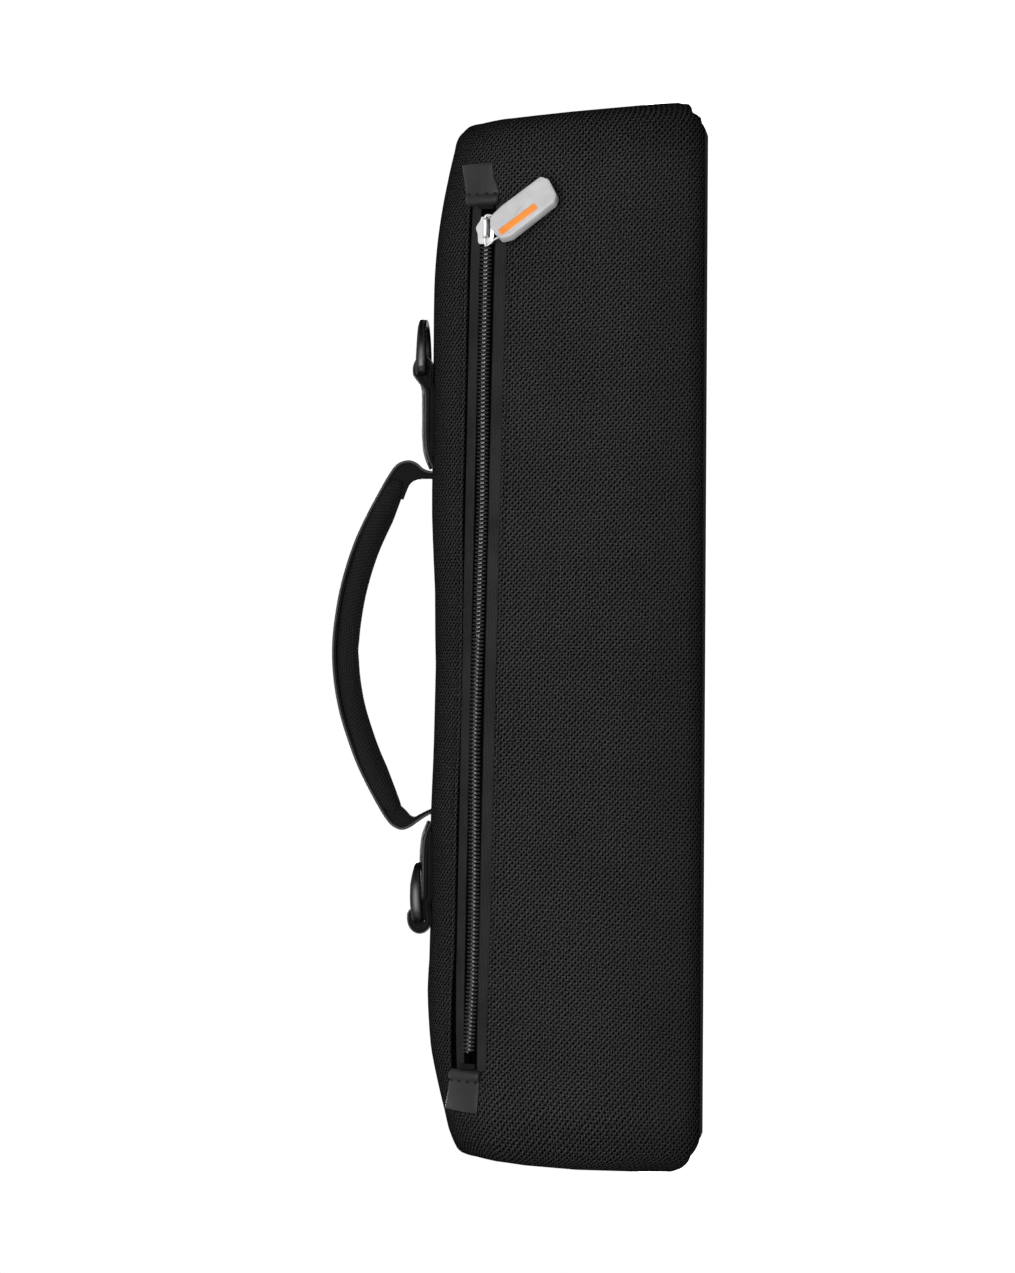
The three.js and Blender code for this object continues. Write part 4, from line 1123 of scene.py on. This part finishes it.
# Side, the strap's sewn end, the ring's axis and lift, the loop's radii, shifts of wire and loop,
# depth of the wire from its bar to its bow, and the legs' bow
RING_SETS = (
    ("right", 1, 69.4, 107.6, 116.9, 0.0, (5.9, 4.4), (1.8, 2.6), (2.25, 2.2, 1.9, 1.5), -0.1),
    ("left", -1, -76.6, -116.6, 117.2, 1.5, (6.5, 5.2), (0.0, 0.0), (2.15, 2.45, 2.2, 1.15), 0.5),
)
RING_REACH, LOW_Z, HIGH_Z, STRAP_POINTS, LOW_POINTS = 21.8, 114.1, 116.3, 130, 62
BAR_ROOM, FILLING_WIDE = 2.5, 16.4
for name, side, near, axis, eye_z, lift, (loop_x, loop_z), (wire_on, loop_on), deep, bow in RING_SETS:
    eye = axis + side * loop_on
    spots = [(x, LOW_Z, 2.1) for x in np.linspace(near + side * 5.0, eye - side * 6.0, 14)]
    for a in np.radians(np.linspace(-75, 120, 16)):
        outside = loop_x * loop_z / math.hypot(loop_z * math.cos(a), loop_x * math.sin(a))
        middle = (outside + BAR_ROOM) / 2
        spots.append((eye + side * middle * math.cos(a), eye_z + middle * math.sin(a), outside - BAR_ROOM))
    # Upper leaf: from the loop back to the sewn end
    for start, on, rise, thick in (
        (eye, -5.2, 1.2, 2.3), (eye, -7.4, 0.4, 2.1), (eye, -10.0, 0.1, 2.1), (eye, -20.0, 0.0, 2.1),
        (near, 14.0, 0.0, 2.1), (near, 8.5, -0.4, 2.1), (near, 5.0, -1.1, 2.1), (near, 2.0, -2.1, 1.9),
        (near, 0.0, -2.9, 1.6),
    ):
        spots.append((start + side * on, HIGH_Z + rise, thick))
    spots = np.array(spots)
    path = path_in_plane(spots, STRAP_POINTS)
    spots_run = run_of(spots[:, :2])
    thick = np.interp(np.linspace(0, spots_run[-1], STRAP_POINTS), spots_run, spots[:, 2])
    widths = np.interp(side * (path[:, 0] - near), (0, 5, 45), (14.0, 18.0, 18.0))
    flat_share = ramp(side * (eye - path[:, 0]), 5.0, 9.0)
    sag = 1.2 * flat_share * np.where(np.arange(STRAP_POINTS) < LOW_POINTS, -1.0, 1.0)
    inside = ((2.6, eye_z), (0.0, eye_z), (-3.4, 116.0), (-6.0, 115.4), (-11.0, 115.2))
    filling = path_in_plane([(eye + side * on, z) for on, z in inside], 24)
    filling_thick = np.interp(np.linspace(0, 1, 24), (0, 0.2, 0.5, 1), (3.2, 4.8, 3.6, 0.5))
    strap = layered(path, widths, thick, aside=(0.0, -side, 0.0), sag=sag, pale_from=0.42)
    strap.append(all_dark(strap_part(filling, FILLING_WIDE, filling_thick)[0]))
    leather = straps_piece(f"{name}_ring_leather", strap)
    settle(leather, "top_flap", "black_leather", f"{name}_ring_strap")
    part = ring_part(axis + side * wire_on, eye_z, lift, RING_REACH - wire_on * 0.7, deep, bow)
    wire = make_piece(f"{name}_ring_wire", part, "ring", sharp=60)
    settle(wire, f"{name}_ring", "ring_black", f"{name}_strap_ring")

# Leather tabs over both ends of the zip: fold end first, then free end, each from the upper side down
TABS = (
    ("right", ((177.1, 97.9), (177.6, 86.4), (194.1, 100.5), (194.9, 88.5)), 1.3),
    ("left", ((-177.9, 102.7), (-178.9, 91.3), (-194.7, 105.4), (-196.4, 92.6)), 0.0),
)
# The leather rises over its fold, and dips at its near end, at the seam and at its edges
TAB_LONG, TAB_COLUMNS, TAB_ROWS, TAB_SEAM = 16.6, 34, 22, 4.4
for name, corners, bend in TABS:
    fold_up, fold_down, free_up, free_down = (np.array(c) for c in corners)
    tops, lows = [], []
    for s in np.linspace(0, 1, TAB_COLUMNS):
        for t in np.linspace(0, 1, TAB_ROWS):
            spot = (fold_up * (1 - t) + fold_down * t) * (1 - s) + (free_up * (1 - t) + free_down * t) * s
            spot[1] -= bend * math.sin(min(s * 1.6, 1.0) * math.pi) * t
            point, out = outer.front_at(*spot)
            along = s * TAB_LONG
            rise = 1.5 + 1.5 * math.exp(-((along - 2.0) / 2.6) ** 2)
            rise -= 1.1 * max(1 - along / 1.3, 0) ** 2
            rise -= 0.5 * math.exp(-((along - TAB_SEAM) / 0.8) ** 2)
            rise -= 0.5 * max(1 - min(t, 1 - t, (1 - s) * 1.4) / 0.07, 0) ** 2
            tops.append(point + out * rise)
            lows.append(point - out * 0.3)
    tops, lows = (np.array(spots).reshape(TAB_COLUMNS, TAB_ROWS, 3) for spots in (tops, lows))
    both = np.stack([tops, lows], 2)
    skirt = np.concatenate([both[0], both[1:, -1], both[-1, -2::-1], both[-2:0:-1, 0]])
    part = join_parts(grid_part(tops), grid_part(skirt, ring=True))
    settle(make_piece(f"{name}_tab_leather", part, "tab"), "case_body", "black_leather", f"{name}_zip_tab")
    seam = tops[int(round(TAB_SEAM / TAB_LONG * (TAB_COLUMNS - 1)))]
    ahead = unit(seam[-1] - seam[0])
    stitches = []
    for hole in (0.09, 0.34, 0.62, 0.88):
        spot = np.array([np.interp(hole * (TAB_ROWS - 1), range(TAB_ROWS), seam[:, k]) for k in range(3)])
        path = spot + ahead * np.linspace(-0.85, 0.85, 5)[:, None]
        stitches.append(tube_part(path, np.array([0.15, 0.42, 0.5, 0.42, 0.15]), 8, ZIP_OUT))
    piece = make_piece(f"{name}_tab_stitches", join_parts(*stitches), "thread")
    settle(piece, "case_body", "black_leather")

# Slider: shield-shaped plates, a diamond between them and a barrel that the wire runs through
SLIDER_U, SLIDER_V, BARREL_V, BARREL_W = 168.35, -0.8, -2.0, 4.9
SHIELD = np.array([
    (4.1, 1.2), (3.7, 2.2), (2.3, 2.9), (1.2, 3.8), (0.0, 4.5), (-1.0, 4.5), (-2.8, 3.7), (-6.3, 3.4),
    (-7.0, 2.7),
])
POST = np.array([(1.6, 1.0), (1.2, 1.3), (-1.2, 1.3), (-1.6, 1.0)])


def plate_part(half, low, high, bevel, dome=0.0):
    """A plate on the zip with bevelled edges; half of its outline is given from the slider's middle."""
    loop = np.concatenate([half, half[::-1] * np.array([1.0, -1.0])])
    middle = np.array([loop[:, 0].mean(), 0.0])
    away = loop - middle
    size = np.linalg.norm(away, axis=1, keepdims=True)
    rings = []
    for inset, w in (
        (bevel, low), (bevel * 0.3, low + bevel * 0.3), (0, low + bevel), (0, high - bevel),
        (bevel * 0.3, high - bevel * 0.3), (bevel, high), (bevel + 0.9, high + dome * 0.6),
        (bevel + 1.7, high + dome),
    ):
        spots = middle + away * (1 - inset / size)
        rings.append(zip_point(SLIDER_U + spots[:, 0], SLIDER_V + spots[:, 1], w))
    return grid_part(np.array(rings), tube=True)


def bar_along_zip(first, last, v, w, radius_v, radius_w, sides=14):
    """A rounded bar along the zip with domed ends, placed along it from the slider's middle."""
    share = np.array([0.0, 0.04, 0.1, 0.2, 0.4, 0.6, 0.8, 0.9, 0.96, 1.0])[:, None]
    size = np.array([0.25, 0.7, 0.92, 1.0, 1.0, 1.0, 1.0, 0.92, 0.7, 0.25])[:, None]
    around = np.arange(sides) / sides * 2 * math.pi
    u = SLIDER_U + first + (last - first) * share
    grid = zip_point(u, v + radius_v * size * np.cos(around), w + radius_w * size * np.sin(around))
    return grid_part(grid, tube=True)


slider_part = join_parts(
    plate_part(SHIELD, 0.9, 2.1, 0.35, 0.3),
    plate_part(SHIELD * (1.0, 0.92), -6.4, -5.2, 0.35),
    plate_part(POST * (1.3, 1.0) + (3.0, 0.0), -5.3, 1.0, 0.2),
    plate_part(POST * (0.7, 0.9) + (3.0, 0.0), 2.0, BARREL_W - 0.6, 0.15),
    plate_part(POST * (0.7, 0.9) - (3.4, 0.0), 2.0, BARREL_W - 0.6, 0.15),
    bar_along_zip(-4.6, 3.8, BARREL_V, BARREL_W, 1.25, 1.25),
)
settle(make_piece("slider_body", slider_part, "chrome", sharp=35), "slider", "chrome", "zip_slider")
# Painted shadow: a black bar in the gap under the slider's bridge, beside the barrel
bridge_shadow = bar_along_zip(-4.4, 3.5, -2.6, 2.35, 0.5, 0.3)
settle(make_piece("slider_bridge_shadow", bridge_shadow, "ring"), "slider", "chrome")

# Wire link: from the barrel round to the puller's pin and back
PIN = np.array([166.981, -38.609, 86.085])
PULL_AHEAD = np.array([0.592013, 0.0, -0.805928])
PIN_AXIS = np.array([0.805928, 0.0, 0.592013])
TOWARDS_VIEW = np.array([0.0, -1.0, 0.0])
WIRE_START = np.array([
    (-6.0, 0.1, 0), (-3.0, 0, 0), (0.0, 0, 0), (2.6, 0, 0), (4.2, 0.1, 0), (4.9, -0.9, 0),
    (4.7, -2.6, -0.1), (4.0, -4.2, -0.3),
])
WIRE_PIN = np.array([(2.7, 0), (1.6, 0.5), (-1.6, 0.5), (-2.9, 0)])
WIRE_END = np.array([(-5.0, -4.4, -0.2), (-6.4, -2.6, -0.1), (-7.4, -1.4, 0), (-7.5, -0.3, 0)])
on_barrel = [zip_point(*(spots + (SLIDER_U, BARREL_V, BARREL_W)).T) for spots in (WIRE_START, WIRE_END)]
at_pin = PIN + TOWARDS_VIEW * 1.2 + WIRE_PIN @ np.array([PIN_AXIS, PULL_AHEAD])
wire_spots = np.concatenate([on_barrel[0], at_pin, on_barrel[1]])
wire_path = smooth_path(np.concatenate([wire_spots, wire_spots[:1]]), 110)[:-1]
wire_part = tube_part(wire_path, 0.45, 10, ZIP_OUT, closed=True)
settle(make_piece("pull_wire", wire_part, "chrome"), "link", "chrome", "pull_link")

# Puller: a bevelled tag, rolled a little so that its lower side shows
PULL_ROLL, PULL_MIDDLE, PULL_LIFT = math.radians(-28.0), 0.8, 2.7
TAG = (
    (-2.2, -3.0), (-1.8, -6.0), (2.4, -7.9), (25.2, -6.9), (27.6, -4.6), (28.8, 3.4), (26.8, 6.6),
    (6.3, 6.2), (0.2, 5.1), (-2.2, 1.4),
)
INLAY = ((-0.4, -5.5), (18.2, -5.2), (18.2, -2.1), (-0.4, -2.4))


def rounded_loop(corners, radius):
    loop = []
    corners = np.array(corners)
    for k in range(len(corners)):
        before, here, after = corners[k - 1], corners[k], corners[(k + 1) % len(corners)]
        back, on = before - here, after - here
        reach = min(radius, np.linalg.norm(back) * 0.45, np.linalg.norm(on) * 0.45)
        a, b = here + unit(back) * reach, here + unit(on) * reach
        for t in np.linspace(0, 1, 5):
            loop.append(a * (1 - t) ** 2 + 2 * here * t * (1 - t) + b * t ** 2)
    return np.array(loop)


def tag_part(corners, low, high, bevel, radius, border=0.8):
    """A plate of the puller with bevelled edges; low and high lie along the way it faces."""
    loop = rounded_loop(corners, radius)
    ahead = np.roll(loop, -1, 0) - np.roll(loop, 1, 0)
    normal = unit(np.stack([ahead[:, 1], -ahead[:, 0]], -1))
    normal *= np.sign((normal * (loop - loop.mean(0))).sum(1, keepdims=True))
    aside = PIN_AXIS * math.cos(PULL_ROLL) + TOWARDS_VIEW * math.sin(PULL_ROLL)
    up = TOWARDS_VIEW * math.cos(PULL_ROLL) - PIN_AXIS * math.sin(PULL_ROLL)
    base = PIN + PIN_AXIS * PULL_MIDDLE + TOWARDS_VIEW * PULL_LIFT
    rings = [
        base + (loop - normal * inset) @ np.array([PULL_AHEAD, aside]) + up * rise
        for inset, rise in (
            (bevel, low), (bevel * 0.3, low + bevel * 0.3), (0, low + bevel), (0, high - bevel),
            (bevel * 0.2, high - bevel * 0.55), (bevel * 0.85, high - bevel * 0.08), (bevel * 1.3, high),
            (bevel * 1.3 + border, high),
        )
    ]
    return grid_part(np.array(rings), tube=True)


puller_part = tag_part(TAG, -2.6, 2.6, 0.6, 0.9)
settle(make_piece("puller_tag", puller_part, "pull", sharp=35), "puller", "pull_grey", "zip_pull")
bar_part = tag_part(INLAY, 2.3, 2.72, 0.08, 0.4, 0.3)
settle(make_piece("puller_bar", bar_part, "orange", sharp=35), "puller", "pull_grey")

# Finishes of the solids that stay
for node in ("right_zip_stop", "left_zip_stop"):
    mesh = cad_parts[node].data
    mesh.materials.clear()
    mesh.materials.append(LOOKS["leather"])


# Floor, background and lamps: the floor's glow as seen and as mirrored, and the background's light
FLOOR_GLOW, FLOOR_MIRRORED, WORLD_LIGHT = 0.97, 0.3, 0.12


def make_surroundings():
    material, tree, shader = new_look("pale_floor", 0.1, 0.9)
    grain = spread(noise(object_place(tree), 40.0, 3.0), 0.0, 1.0)
    rays = add(tree, "ShaderNodeLightPath")
    seen = Value(rays, "Is Camera Ray").calc("MAXIMUM", Value(rays, "Is Transmission Ray"))
    fill(shader, {
        "Base Color": blend_colour(grain, grey(0.42), grey(0.46)),
        "Emission Color": grey(1.0),
        "Emission Strength": (Value(rays, "Is Glossy Ray") * FLOOR_MIRRORED + seen) * FLOOR_GLOW,
    })
    mesh = bpy.data.meshes.new("floor")
    mesh.from_pydata([(-3, -3, 0), (3, -3, 0), (3, 3, 0), (-3, 3, 0)], [], [(0, 1, 2, 3)])
    mesh.materials.append(material)
    floor = bpy.data.objects.new("floor", mesh)
    scene.collection.objects.link(floor)
    world = bpy.data.worlds.new("studio")
    scene.world = world
    world.use_nodes = True
    tree = world.node_tree
    rays = add(tree, "ShaderNodeLightPath")
    glossy = Value(rays, "Is Glossy Ray")
    beside = glossy.calc("MAXIMUM", Value(rays, "Is Transmission Ray"))
    seen = Value(rays, "Is Camera Ray").calc("MAXIMUM", beside)
    place = Value(add(tree, "ShaderNodeTexCoord"), "Generated")
    height = Value(add(tree, "ShaderNodeSeparateXYZ", {0: place}), 2)
    shown = seen + glossy * (spread(height, -0.1, 1.1) - 1.0)
    strength = shown * (1 - WORLD_LIGHT) + WORLD_LIGHT
    fill(tree.nodes["Background"], {"Color": grey(1.0), "Strength": strength})


def make_lamp(name, place, size, power):
    data = bpy.data.lights.new(name, "AREA")
    data.shape = "RECTANGLE"
    data.size, data.size_y = size
    data.energy = power
    lamp = bpy.data.objects.new(name, data)
    turn = (Vector((0, 0, 0.06)) - Vector(place)).to_track_quat("-Z", "Y").to_matrix().to_4x4()
    lamp.matrix_world = Matrix.Translation(Vector(place)) @ turn
    scene.collection.objects.link(lamp)


make_surroundings()
make_lamp("key", (0.1, -1.75, 0.42), (1.0, 0.7), 30.0)
make_lamp("fill", (-1.1, -1.5, 0.3), (0.9, 0.9), 6.0)
make_lamp("behind", (0.1, 1.8, 0.35), (1.0, 0.7), 34.0)
